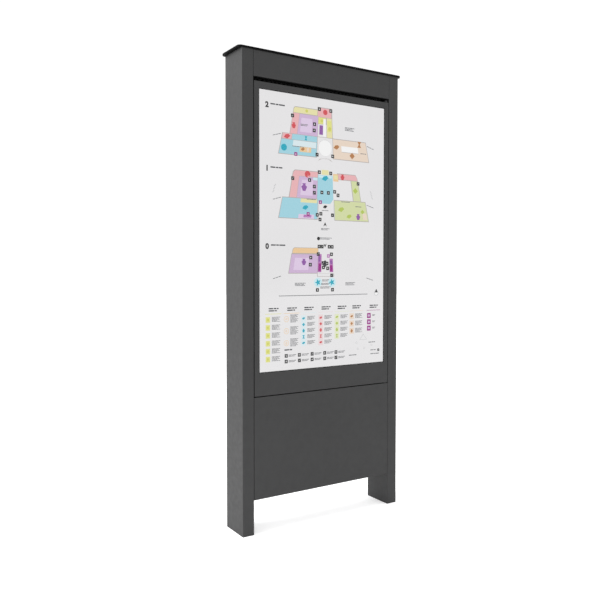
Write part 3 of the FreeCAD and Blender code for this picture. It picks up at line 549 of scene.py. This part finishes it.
def supply_fittings(looks):
    """The power supply's cover screws, and the barrier strip on top of it."""
    strip, screws = Fitting(), Fitting()
    low, high = box_in_mm("power_supply")
    for x, z in inset_corners(low, high, 7):
        screws.screw((x, low.y, z), FRONTWARD, 3.2, 1.6)
    left, front, foot = low.x + 12, low.y + 12, high.z
    strip.box((left, front, foot - 0.5), (left + BARRIER_WAYS * BARRIER_PITCH, front + 20, foot + 6))
    for index in range(BARRIER_WAYS + 1):
        x = left + BARRIER_PITCH * index
        strip.box((x - 0.8, front, foot + 5), (x + 0.8, front + 20, foot + 11), 0.25)
    for index in range(BARRIER_WAYS):
        x = left + BARRIER_PITCH * (index + 0.5)
        screws.screw((x, front + 10, foot + 6), UPWARD, 3.4, 2.0, "slot")
    strip.finish("supply_terminal_strip", "cabinet", "black_plastic", looks)
    screws.finish("supply_screws", "cabinet", "bright_steel", looks)


def player_ports(looks):
    """Metal liners of the sockets underneath the media player, each with its contact tongue."""
    liners, tongues = Fitting(), Fitting()
    low, high = box_in_mm("media_player")
    for left in PORT_PLACES:
        x0, y0 = low.x + left, high.y - 24
        x1, y1 = x0 + 16, y0 + 8
        walls = [
            (x0, y0, x0 + PORT_WALL, y1),
            (x1 - PORT_WALL, y0, x1, y1),
            (x0, y0, x1, y0 + PORT_WALL),
            (x0, y1 - PORT_WALL, x1, y1),
        ]
        for left_x, front, right_x, back in walls:
            liners.box((left_x, front, low.z - 0.4), (right_x, back, low.z + 8.5), 0.12)
        tongues.box((x0 + 2.5, y0 + 3.2, low.z + 1.0), (x1 - 2.5, y0 + 4.8, low.z + 8.8), 0.2)
    liners.finish("player_port_liners", "cabinet", "bright_steel", looks)
    tongues.finish("player_port_tongues", "cabinet", "black_plastic", looks)


def housing_fittings(looks):
    """Pressed ridges, cover screws and flat conductors on the back of the display."""
    ridges, screws, ribbons, sockets = Fitting(), Fitting(), Fitting(), Fitting()
    low, high = box_in_mm("display_housing")
    box_low, box_high = box_in_mm("display_driver_box")
    back = high.y - HOUSING_PAD
    tall = high.z - low.z
    for share in RIDGE_HEIGHTS:
        z = low.z + share * tall
        ridges.bead(-190, 190, back, z, 9, 1.6)
        for side in (-1, 1):
            near, far = sorted((278 * side, 312 * side))
            ridges.bead(near, far, back, z, 9, 1.6)
    foot, head = low.z + HOUSING_SCREW_INSET, high.z - HOUSING_SCREW_INSET
    for row in range(HOUSING_SCREW_ROWS):
        z = foot + row * (head - foot) / (HOUSING_SCREW_ROWS - 1)
        for x in (low.x + 8, high.x - 8):
            screws.screw((x, back, z), REARWARD, 3.6, 1.8)
    for x in (-300, -150, 0, 150, 300):
        for z in (foot, head):
            screws.screw((x, back, z), REARWARD, 3.6, 1.8)
    for x, z in inset_corners(box_low, box_high, 7):
        screws.screw((x, box_high.y, z), REARWARD, 3.2, 1.8)
    top = box_high.z
    path = [(back + depth, top + height) for depth, height in RIBBON_PATH]
    for x in (-58, 18):
        ribbons.ribbon(x, x + 40, path)
        sockets.box((x - 3, back - 0.2, top + 46), (x + 43, back + 4, top + 54), 0.5)
        sockets.box((x - 3, back + 8, top - 0.5), (x + 43, back + 12, top + 3), 0.5)
    ridges.finish("housing_ridges", "screen_door", "display_case", looks)
    screws.finish("housing_screws", "screen_door", "screw_steel", looks)
    ribbons.finish("display_ribbons", "screen_door", "grey_plastic", looks)
    sockets.finish("ribbon_sockets", "screen_door", "black_plastic", looks)


def vent_filters(looks):
    """Foam pads behind the rear panel's slots, and the strips that hold them."""
    pads, strips, screws = Fitting(), Fitting(), Fitting()
    back = box_in_mm("rear_panel")[0].y
    for index in range(SLOT_GROUPS):
        left = SLOTS_START + SLOTS_PITCH * index
        right = left + SLOTS_WIDTH
        pads.box((left - 5, back - 5, SLOTS_LOW - 6), (right + 5, back, SLOTS_HIGH + 6), 1.2)
        for z in (SLOTS_LOW - 10, SLOTS_HIGH):
            strips.box((left - 9, back - 6.2, z), (right + 9, back - 5, z + 10), 0.3)
            for x in (left - 6, right + 6):
                screws.screw((x, back - 6.2, z + 5), FRONTWARD, 2.4, 1.4)
    pads.finish("vent_filter_pads", "cabinet", "seal_rubber", looks)
    strips.finish("vent_filter_strips", "cabinet", "zinc_steel", looks)
    screws.finish("vent_filter_screws", "cabinet", "screw_steel", looks)


def add_fittings(looks):
    dress_screws("rear_panel_screws", "cabinet", looks)
    dress_screws("foot_cover_screws", "cabinet", looks)
    dress_screws("display_screws", "screen_door", looks)
    fan_guards(looks)
    terminal_screws(looks)
    supply_fittings(looks)
    player_ports(looks)
    housing_fittings(looks)
    vent_filters(looks)


def soften_edges():
    """Breaks the sharp edges of the CAD nodes by a fraction of a millimetre, and keeps their flats flat."""
    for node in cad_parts.values():
        weld = node.modifiers.new("weld", "WELD")
        weld.merge_threshold = 0.005 * MM
        flats = node.modifiers.new("flats", "DECIMATE")
        flats.decimate_type = "DISSOLVE"
        flats.angle_limit = math.radians(0.5)
        bevel = node.modifiers.new("bevel", "BEVEL")
        bevel.width = 0.3 * MM
        bevel.limit_method = "ANGLE"
        bevel.angle_limit = math.radians(40)
        bevel.segments = 1
        node.modifiers.new("normals", "WEIGHTED_NORMAL")


# The lit picture ------------------------------------------------------------

GLASS_LOW, GLASS_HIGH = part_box("touch_glass")
PICTURE_CENTRE = (GLASS_LOW + GLASS_HIGH) / 2
PICTURE_BACK = GLASS_HIGH.y - 0.1 * MM
PICTURE_LEFT = PICTURE_CENTRE.x - PICTURE_WIDTH / 2
PICTURE_FOOT = PICTURE_CENTRE.z - PICTURE_HEIGHT / 2

GROUND, WALLS, ROOMS, INSETS, ICONS, GLYPHS = range(6)
CIRCLE_STEPS = 24
WORD_WIDTHS = (11, 6, 14, 8, 5, 12, 7)
ROW_FILLS = (1.0, 0.82, 0.93, 0.7)


class Artwork:
    """Flat shapes of the picture, each a thin chip of colour, gathered into one piece.

    Places on it are millimetres from the picture's lower left corner.
    """

    def __init__(self, inks):
        self.mesh = bmesh.new()
        self.inks = inks
        self.used = []

    def ink_number(self, ink):
        if ink not in self.used:
            self.used.append(ink)
        return self.used.index(ink)

    def shape(self, ink, points, layer):
        """A chip whose outline runs anticlockwise through points."""
        back = PICTURE_BACK - layer * INK_LAYER
        rings = []
        for y in (back, back - INK_LAYER):
            places = [(PICTURE_LEFT + x * MM, y, PICTURE_FOOT + z * MM) for x, z in points]
            rings.append([self.mesh.verts.new(p) for p in places])
        far, near = rings
        count = len(points)
        sides = [(far[i], far[(i + 1) % count], near[(i + 1) % count], near[i]) for i in range(count)]
        for corners in [near, far[::-1], *sides]:
            self.mesh.faces.new(corners).material_index = self.ink_number(ink)

    def bar(self, ink, x0, z0, x1, z1, layer):
        self.shape(ink, [(x0, z0), (x1, z0), (x1, z1), (x0, z1)], layer)

    def disc(self, ink, x, z, radius, layer, steps=CIRCLE_STEPS):
        turn = 2 * math.pi / steps
        points = [(x + radius * math.cos(i * turn), z + radius * math.sin(i * turn)) for i in range(steps)]
        self.shape(ink, points, layer)

    def words(self, x, top, width, rows, size=3.0, ink="text"):
        """Rows of short bars that stand for lines of text."""
        for row in range(rows):
            high = top - row * size * 1.75
            limit = width * ROW_FILLS[row % len(ROW_FILLS)]
            pen, word = 0.0, 2 * row
            while pen < limit:
                step = min(WORD_WIDTHS[word % len(WORD_WIDTHS)] * size / 2.6, limit - pen)
                if step > size * 0.6:
                    self.bar(ink, x + pen, high - size, x + pen + step, high, ICONS)
                pen += step + size * 0.5
                word += 1

    def sign(self, x, z, ink="black", size=16.0, glyph="arrow"):
        """A square pictogram with a plain light glyph in it."""
        half = size / 2
        self.bar(ink, x - half, z - half, x + half, z + half, ICONS)
        if glyph == "arrow":
            points = [(x - half * 0.4, z - half * 0.3), (x + half * 0.4, z - half * 0.3), (x, z + half * 0.5)]
            self.shape("white", points, GLYPHS)
        if glyph == "bars":
            for rise in (-0.3, 0.15):
                low = z + half * rise
                self.bar("white", x - half * 0.4, low, x + half * 0.4, low + half * 0.2, GLYPHS)
        if glyph == "steps":
            for step in (-0.4, -0.1, 0.2):
                left, low = x + half * step, z + half * step
                self.bar("white", left, low, left + half * 0.25, low + half * 0.25, GLYPHS)

    def numeral(self, text, x, z, height):
        """A floor number, from the built-in plain face."""
        letter = bpy.data.curves.new("numeral", "FONT")
        letter.body = text
        letter.size = height * MM / 0.72
        letter.offset = 0.0016
        holder = bpy.data.objects.new("numeral", letter)
        outline = bpy.data.meshes.new_from_object(holder)
        y = PICTURE_BACK - ICONS * INK_LAYER
        first = len(self.mesh.verts)
        self.mesh.from_mesh(outline)
        self.mesh.verts.ensure_lookup_table()
        for vert in self.mesh.verts[first:]:
            flat = vert.co.copy()
            vert.co = (PICTURE_LEFT + x * MM + flat.x, y, PICTURE_FOOT + z * MM + flat.y)
            for face in vert.link_faces:
                face.material_index = self.ink_number("black")
        bpy.data.objects.remove(holder)
        bpy.data.curves.remove(letter)

    def finish(self, name):
        data = bpy.data.meshes.new(name)
        self.mesh.to_mesh(data)
        self.mesh.free()
        for ink in self.used:
            data.materials.append(self.inks[ink])
        piece = bpy.data.objects.new(name, data)
        bpy.context.scene.collection.objects.link(piece)
        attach(piece, "screen_door")
        return piece


class Plan:
    """One storey drawn on the artwork as seen from a little above, so that it narrows to the rear.

    Places in it are millimetres: across from its centre line, and back from its front wall.
    """

    NARROWING = 0.0009

    def __init__(self, art, centre, foot):
        self.art = art
        self.centre = centre
        self.foot = foot

    def at(self, across, back):
        return self.centre + across * (1 - self.NARROWING * back), self.foot + back

    def room(self, ink, x0, y0, x1, y1, layer=ROOMS):
        self.area(ink, [(x0, y0), (x1, y0), (x1, y1), (x0, y1)], layer)

    def area(self, ink, corners, layer=ROOMS):
        self.art.shape(ink, [self.at(*c) for c in corners], layer)

    def ring(self, ink, across, back, radius, width, inside="ground"):
        self.spot(ink, across, back, radius, ROOMS)
        self.spot(inside, across, back, radius - width, INSETS)

    def rooms(self, rows, layer=ROOMS):
        for ink, *corners in rows:
            self.room(ink, *corners, layer)

    def spot(self, ink, across, back, radius, layer=ICONS):
        self.art.disc(ink, *self.at(across, back), radius, layer)

    def signs(self, places, ink="black", glyphs=("arrow", "bars", "steps")):
        for i, (across, back) in enumerate(places):
            self.art.sign(*self.at(across, back), ink=ink, glyph=glyphs[i % len(glyphs)])

    def figure(self, ink, across, back, outline, size):
        """A small exhibit sign: outline is in units of size round its place."""
        x, z = self.at(across, back)
        self.art.shape(ink, [(x + a * size, z + b * size) for a, b in outline], ICONS)


URN = [(-0.4, -1.0), (0.4, -1.0), (0.9, 0.1), (0.35, 0.6), (0.6, 1.0), (-0.6, 1.0), (-0.35, 0.6), (-0.9, 0.1)]
HOURGLASS = [(-0.8, -1.0), (0.8, -1.0), (0.2, 0.0), (0.8, 1.0), (-0.8, 1.0), (-0.2, 0.0)]
DIAMOND = [(0, -1.0), (1.0, 0), (0, 1.0), (-1.0, 0)]
LEAF = [(-1.1, -0.3), (0.1, -0.7), (1.1, 0.2), (0.5, 0.7), (-0.5, 0.5)]
STAR_REACH = (0.45, 1.0)
STAR = [
    (STAR_REACH[i % 2] * math.cos(i * math.pi / 5), STAR_REACH[i % 2] * math.sin(i * math.pi / 5))
    for i in range(10)
]


def storey_two(inks):
    art = Artwork(inks)
    plan = Plan(art, 340, 945)
    plan.rooms([("wall", -248, 0, -45, 94), ("wall", 43, 0, 252, 94), ("wall", -52, 180, 44, 226)], WALLS)
    plan.area("wall", [(-207, 90), (46, 90), (46, 214), (-200, 214), (-207, 206)], WALLS)
    plan.rooms([
        ("cyan", -245, 3, -48, 66),
        ("cyan", -190, 68, -48, 92),
        ("pink", -243, 69, -192, 92),
        ("peach", 46, 3, 249, 91),
        ("ground", -45, -4, 43, 92),
        ("pink", -204, 94, -165, 185),
        ("lilac", -163, 94, -46, 184),
        ("pink", -49, 183, 41, 223),
        ("lime", -44, 152, 4, 181),
        ("ground", -44, 94, 8, 150),
        ("yellow", 10, 94, 43, 181),
    ])
    plan.area("yellow", [(-204, 187), (-52, 187), (-52, 211), (-198, 211), (-204, 204)])
    plan.rooms([
        ("cyan_faint", -180, 40, -52, 66),
        ("orange", -140, 18, -78, 42),
        ("white", 95, 38, 195, 64),
        ("lilac_pale", -150, 106, -82, 168),
        ("violet", -36, 104, -14, 146),
        ("lime", 14, 120, 40, 170),
        ("white", -12, 98, 4, 176),
        ("wall", -180, 38, -52, 40),
        ("wall", 95, 36, 195, 38),
    ], INSETS)
    plan.ring("faint", 0, 46, 38, 2, "white")
    plan.area("wall", [(-40, -14), (-20, -4), (20, -4), (40, -14), (24, 0), (-24, 0)])
    plan.spot("teal", -224, 30, 15)
    plan.spot("mustard", -122, 200, 7)
    plan.spot("red", 0, 206, 12)
    plan.spot("mustard", 28, 134, 9)
    plan.spot("mustard", -22, 166, 7)
    plan.figure("red", -190, 130, URN, 13)
    plan.figure("red", -218, 79, LEAF, 15)
    plan.figure("teal", -112, 80, HOURGLASS, 9)
    plan.figure("brown", -124, 30, LEAF, 10)
    plan.figure("peach", -96, 30, URN, 9)
    plan.figure("brown", 66, 56, LEAF, 15)
    plan.figure("brown", 155, 24, DIAMOND, 15)
    plan.figure("brown", 208, 80, HOURGLASS, 14)
    plan.signs([(-40, 217), (38, 216), (-206, 172), (-67, 147), (-67, 119), (-45, 13), (42, 13)])
    plan.signs([(-158, 6)], "magenta")
    art.words(208, 1086, 42, 2)
    art.words(164, 986, 62, 1)
    art.words(540, 986, 34, 1)
    art.words(450, 1097, 54, 3, 3.4)
    art.numeral("2", 29, 1138, 23)
    art.words(54, 1157, 76, 1, 5.6, "title")
    return art.finish("picture_storey_two")


def storey_one(inks):
    art = Artwork(inks)
    plan = Plan(art, 340, 667)
    plan.rooms([("wall", -248, 0, -40, 94), ("wall", 52, 0, 252, 94), ("wall", 172, 92, 224, 188)], WALLS)
    plan.area("wall", [(-212, 92), (-46, 92), (-46, 216), (-202, 216), (-212, 206)], WALLS)
    plan.area("wall", [(82, 186), (222, 186), (222, 200), (212, 216), (82, 216)], WALLS)
    plan.rooms([
        ("cyan", -245, 3, -44, 91),
        ("green", 55, 3, 249, 91),
        ("pink", -208, 94, -168, 190),
        ("lilac", -166, 94, -50, 188),
        ("yellow", -24, 204, 24, 226),
        ("orange", 54, 178, 88, 212),
        ("green", 176, 94, 221, 186),
    ])
    plan.area("pink", [(-208, 190), (-50, 190), (-50, 213), (-199, 213), (-208, 204)])
    plan.area("pink", [(90, 189), (219, 189), (219, 199), (210, 213), (90, 213)])
    plan.area("cyan", [(-30, 74), (30, 74), (50, 96), (50, 202), (-48, 202), (-48, 96)])
    plan.rooms([
        ("yellow", -142, 74, -48, 91),
        ("lilac_pale", -145, 3, -62, 22),
        ("mauve", -118, 8, -76, 20),
        ("lilac_pale", -148, 106, -76, 174),
        ("cyan_pale", -78, 176, -50, 188),
        ("peach", 220, 10, 244, 40),
        ("yellow", 60, 188, 84, 206),
        ("cyan_pale", -44, 190, 44, 200),
    ], INSETS)
    plan.area("faint", [(-44, 4), (-38, 4), (-38, 66), (-44, 70)])
    plan.area("faint", [(50, 4), (56, 4), (56, 66), (50, 70)])
    plan.figure("teal", -112, 52, LEAF, 15)
    plan.figure("teal", 0, 188, LEAF, 17)
    plan.figure("red", 118, 200, URN, 13)
    plan.spot("red", -116, 200, 15)
    plan.figure("pink", -110, 194, DIAMOND, 9)
    plan.figure("violet", -130, 142, URN, 17)
    plan.figure("leaf", 94, 52, LEAF, 16)
    plan.figure("leaf", 138, 22, LEAF, 14)
    plan.figure("leaf", 222, 46, DIAMOND, 11)
    plan.figure("leaf", 196, 142, DIAMOND, 14)
    plan.figure("violet", 192, 22, URN, 14)
    plan.signs([
        (-40, 214), (38, 213), (-206, 177), (-100, 175), (-68, 148), (-66, 120), (-20, 124), (20, 124),
    ])
    plan.signs([(60, 131), (80, 116), (222, 176), (-44, 22), (-24, 28), (42, 24), (-28, 2)])
    plan.signs([(-28, 80), (-94, 24)], "magenta")
    plan.figure("black", 0, 60, LEAF, 11)
    plan.figure("black", 0, -20, [(-0.9, -0.8), (0, -0.2), (0.9, -0.8), (0, 1.0)], 11)
    art.words(318, 630, 46, 2)
    art.words(512, 738, 34, 1, 3.4)
    art.words(322, 712, 36, 1)
    art.words(240, 758, 50, 1)
    art.words(430, 756, 50, 1)
    art.numeral("1", 29, 868, 23)
    art.words(54, 887, 60, 1, 5.6, "title")
    return art.finish("picture_storey_one")


def storey_zero(inks):
    art = Artwork(inks)
    plan = Plan(art, 340, 345)
    plan.rooms([("wall", -212, 80, -44, 170), ("wall", -46, 66, 54, 80)], WALLS)
    plan.area("wall", [(-209, 170), (-44, 170), (-44, 196), (-200, 196), (-209, 188)], WALLS)
    plan.rooms([
        ("lilac", -209, 83, -46, 166),
        ("mauve", -44, 86, -22, 168),
        ("mauve", 28, 86, 50, 148),
        ("ground", -43, 68, 51, 79),
    ])
    plan.area("orange", [(-206, 171), (-46, 171), (-46, 194), (-199, 194), (-206, 187)])
    plan.rooms([
        ("lilac_pale", -186, 96, -100, 150),
        ("violet", -42, 134, -30, 160),
        ("magenta", -40, 92, -24, 126),
        ("magenta", 30, 90, 46, 118),
        ("violet", 32, 124, 46, 140),
    ], INSETS)
    plan.figure("violet", -130, 132, URN, 14)
    for side in (-1, 1):
        plan.spot("cyan_pale", 40 * side, 40, 22, INSETS)
        plan.figure("teal", 40 * side, 40, STAR, 17)
    plan.figure("title", 0, 125, DIAMOND, 17)
    plan.figure("black", 0, 208, [(-0.9, 0.8), (0, 0.2), (0.9, 0.8), (0, -1.0)], 10)
    plan.signs([(-90, 152), (-90, 120), (-44, 168), (42, 168), (-40, 202), (-20, 202), (28, 202), (48, 202)])
    plan.signs([(-10, 108), (16, 104), (40, 72), (-42, 6), (42, 6), (-12, 128), (12, 126)])
    plan.signs([(22, 160)], "mauve")
    plan.spot("black", -46, 238, 8)
    for top, width in ((588, 66), (398, 40), (382, 50), (366, 60)):
        art.words(344 - width / 2, top, width, 2)
    art.words(178, 384, 60, 3)
    art.words(455, 384, 56, 3)
    art.bar("text", 95, 326, 585, 329, ICONS)
    art.disc("faint", 638, 332, 13, ROOMS)
    art.disc("white", 638, 332, 10, INSETS)
    art.shape("black", [(629, 334), (647, 334), (638, 352)], ICONS)
    art.numeral("0", 29, 533, 23)
    art.words(56, 552, 78, 1, 5.6, "title")
    return art.finish("picture_storey_zero")


def surroundings(inks):
    """Faint kerb lines at both sides of the three plans."""
    art = Artwork(inks)
    for foot in (1020, 745, 402):
        for left, lean in ((66, 1), (578, -1)):
            for i in range(3):
                x, z = left + 14 * i, foot + 4 * lean * i
                rise = z + 3 * lean
                art.shape("text", [(x, z), (x + 12, rise), (x + 12, rise + 3), (x, z + 3)], ICONS)
    for x, lean in ((62, 1), (612, -1)):
        for i in range(3):
            left, low = x + lean * 4 * i, 776 + 13 * i
            top_left, top = left + 8 * lean, low + 11
            art.shape("faint", [(left, low), (left + 4, low), (top_left + 4, top), (top_left, top)], ICONS)
    return art.finish("picture_surroundings")


LEGEND_HEAD = 276
LEGEND_RULE = 249
# Per column: left edge, kind of sign, its colour, its patch's colour, entries, their pitch, lines each.
LEGEND_COLUMNS = [
    (26, "block", "lime", "mustard", 6, 34.4, 5),
    (120, "ring", "orange", "peach", 3, 53, 8),
    (210, "shape", "teal", "cyan_faint", 5, 27.5, 4),
    (303, "shape", "red", "pink_faint", 5, 28, 4),
    (393, "shape", "leaf", "green_faint", 4, 29, 4),
    (478, "shape", "brown", "peach", 3, 34, 5),
    (580, "block", "magenta", "lilac", 3, 30, 2),
]
LEGEND_SHAPES = (LEAF, DIAMOND, URN, HOURGLASS)


def legend_sign(art, kind, ink, patch, x, z, row):
    """One sign of the legend, centred on x, z."""
    if kind == "block":
        art.bar(ink, x - 11, z - 12, x + 11, z + 12, INSETS)
        art.disc(patch, x, z, 6, ICONS)
    if kind == "ring":
        art.disc(ink, x, z, 13, ROOMS)
        art.disc("ground", x, z, 11, INSETS)
        art.shape(patch, [(x + 7 * a, z + 7 * b) for a, b in LEGEND_SHAPES[row % 4]], ICONS)
    if kind == "shape":
        art.bar(patch, x - 13, z - 14, x + 13, z + 14, ROOMS)
        art.shape(ink, [(x + 8 * a, z + 8 * b) for a, b in LEGEND_SHAPES[row % 4]], INSETS)


def legend_column(art, left, kind, ink, patch, rows, pitch, lines):
    art.words(left + 18, LEGEND_HEAD, 50, 2, 5.4, "title")
    art.bar(patch if kind == "shape" else ink, left, LEGEND_RULE, left + 82, LEGEND_RULE + 2, ICONS)
    for row in range(rows):
        middle = LEGEND_RULE - 24 - row * pitch
        legend_sign(art, kind, ink, patch, left + 14, middle, row)
        width = 18 if ink == "magenta" else 42
        art.words(left + 34, middle + lines * 2.4, width, lines, 2.6)


def legend(inks):
    art = Artwork(inks)
    for column in LEGEND_COLUMNS:
        legend_column(art, *column)
    art.words(124, 92, 44, 1, 5.6, "title")
    for column, x in enumerate((133, 202, 270, 339, 402)):
        for row, z in enumerate((63, 38)):
            art.sign(x, z, glyph=("arrow", "bars", "steps")[(column + row) % 3])
            art.words(x + 13, z + 4, 38, 2, 3.0)
    art.words(476, 45, 44, 1, 4.2)
    art.words(592, 100, 40, 1, 4.0)
    art.words(604, 62, 34, 1, 4.0)
    art.words(604, 44, 56, 1, 4.0)
    art.sign(652, 58, size=12)
    for x, z in ((528, 70), (566, 72), (520, 100), (610, 84)):
        art.disc("faint", x, z, 5, ROOMS)
        art.disc("ground", x, z, 3.5, INSETS)
    art.shape("faint", [(538, 112), (582, 112), (560, 140)], ROOMS)
    art.shape("ground", [(541, 113.5), (579, 113.5), (560, 137)], INSETS)
    return art.finish("picture_legend")


def picture_ground(inks):
    """The lit ground sheet, and the black border printed round it."""
    art = Artwork(inks)
    wide, high = PICTURE_WIDTH / MM, PICTURE_HEIGHT / MM
    art.bar("ground", 0, 0, wide, high, GROUND)
    ground = art.finish("picture_ground")
    border = 1.8
    art = Artwork(inks)
    right, top = wide + border, high + border
    outside = [(-border, -border), (right, -border), (right, top), (-border, top)]
    inside = [(0, 0), (wide, 0), (wide, high), (0, high)]
    for i in range(4):
        j = (i + 1) % 4
        art.shape("black", [outside[i], outside[j], inside[j], inside[i]], GROUND)
    return ground, art.finish("picture_border")


def make_picture():
    inks = {}
    for name, code in INKS.items():
        inks[name] = backlit_ground() if name == "ground" else lit("ink_" + name, linear(code)).material
    picture_ground(inks)
    storey_two(inks)
    storey_one(inks)
    storey_zero(inks)
    surroundings(inks)
    legend(inks)


# Studio ---------------------------------------------------------------------


def make_floor():
    data = bpy.data.meshes.new("studio_floor")
    mesh = bmesh.new()
    bmesh.ops.create_circle(mesh, cap_ends=True, radius=FLOOR_RADIUS, segments=96)
    mesh.to_mesh(data)
    mesh.free()
    floor = bpy.data.objects.new("studio_floor", data)
    bpy.context.scene.collection.objects.link(floor)
    floor.location.z = CAD_LOW.z - 0.2 * MM
    look = Look("studio_floor", (FLOOR_COLOUR,) * 3, 0.9, specular=0.0)
    look.mottle(look.noise(0.6, 2.0), 0.01)
    look.set("Emission Color", (*WHITE, 1.0))
    look.set("Emission Strength", FLOOR_GLOW)
    data.materials.append(look.material)


def make_sky():
    world = bpy.data.worlds.new("studio_sky")
    world.use_nodes = True
    background = world.node_tree.nodes["Background"]
    background.inputs["Color"].default_value = (*WHITE, 1.0)
    background.inputs["Strength"].default_value = SKY_STRENGTH
    bpy.context.scene.world = world


def softbox(name, place, target, size, power):
    """A square area light at place that faces target."""
    lamp = bpy.data.lights.new(name, "AREA")
    lamp.size = size
    lamp.energy = power
    holder = bpy.data.objects.new(name, lamp)
    bpy.context.scene.collection.objects.link(holder)
    holder.location = place
    holder.rotation_euler = (Vector(target) - Vector(place)).to_track_quat("-Z", "Y").to_euler()


def make_camera():
    data = bpy.data.cameras.new("studio_camera")
    data.lens = LENS_MM
    data.sensor_width = 36.0
    data.clip_end = 200.0
    camera = bpy.data.objects.new("studio_camera", data)
    bpy.context.scene.collection.objects.link(camera)
    camera.location = CAMERA_PLACE
    camera.rotation_euler = (math.pi / 2 + CAMERA_PITCH, 0.0, CAMERA_YAW)
    bpy.context.scene.camera = camera


def make_studio():
    bpy.context.scene.view_settings.view_transform = "Standard"
    make_floor()
    make_sky()
    make_camera()
    softbox("key_light", (-4.5, 0.6, 3.6), (0, 0, 1.1), 2.6, 260)


looks = make_looks()
dress_cad_nodes(looks)
add_fittings(looks)
soften_edges()
make_picture()
make_studio()
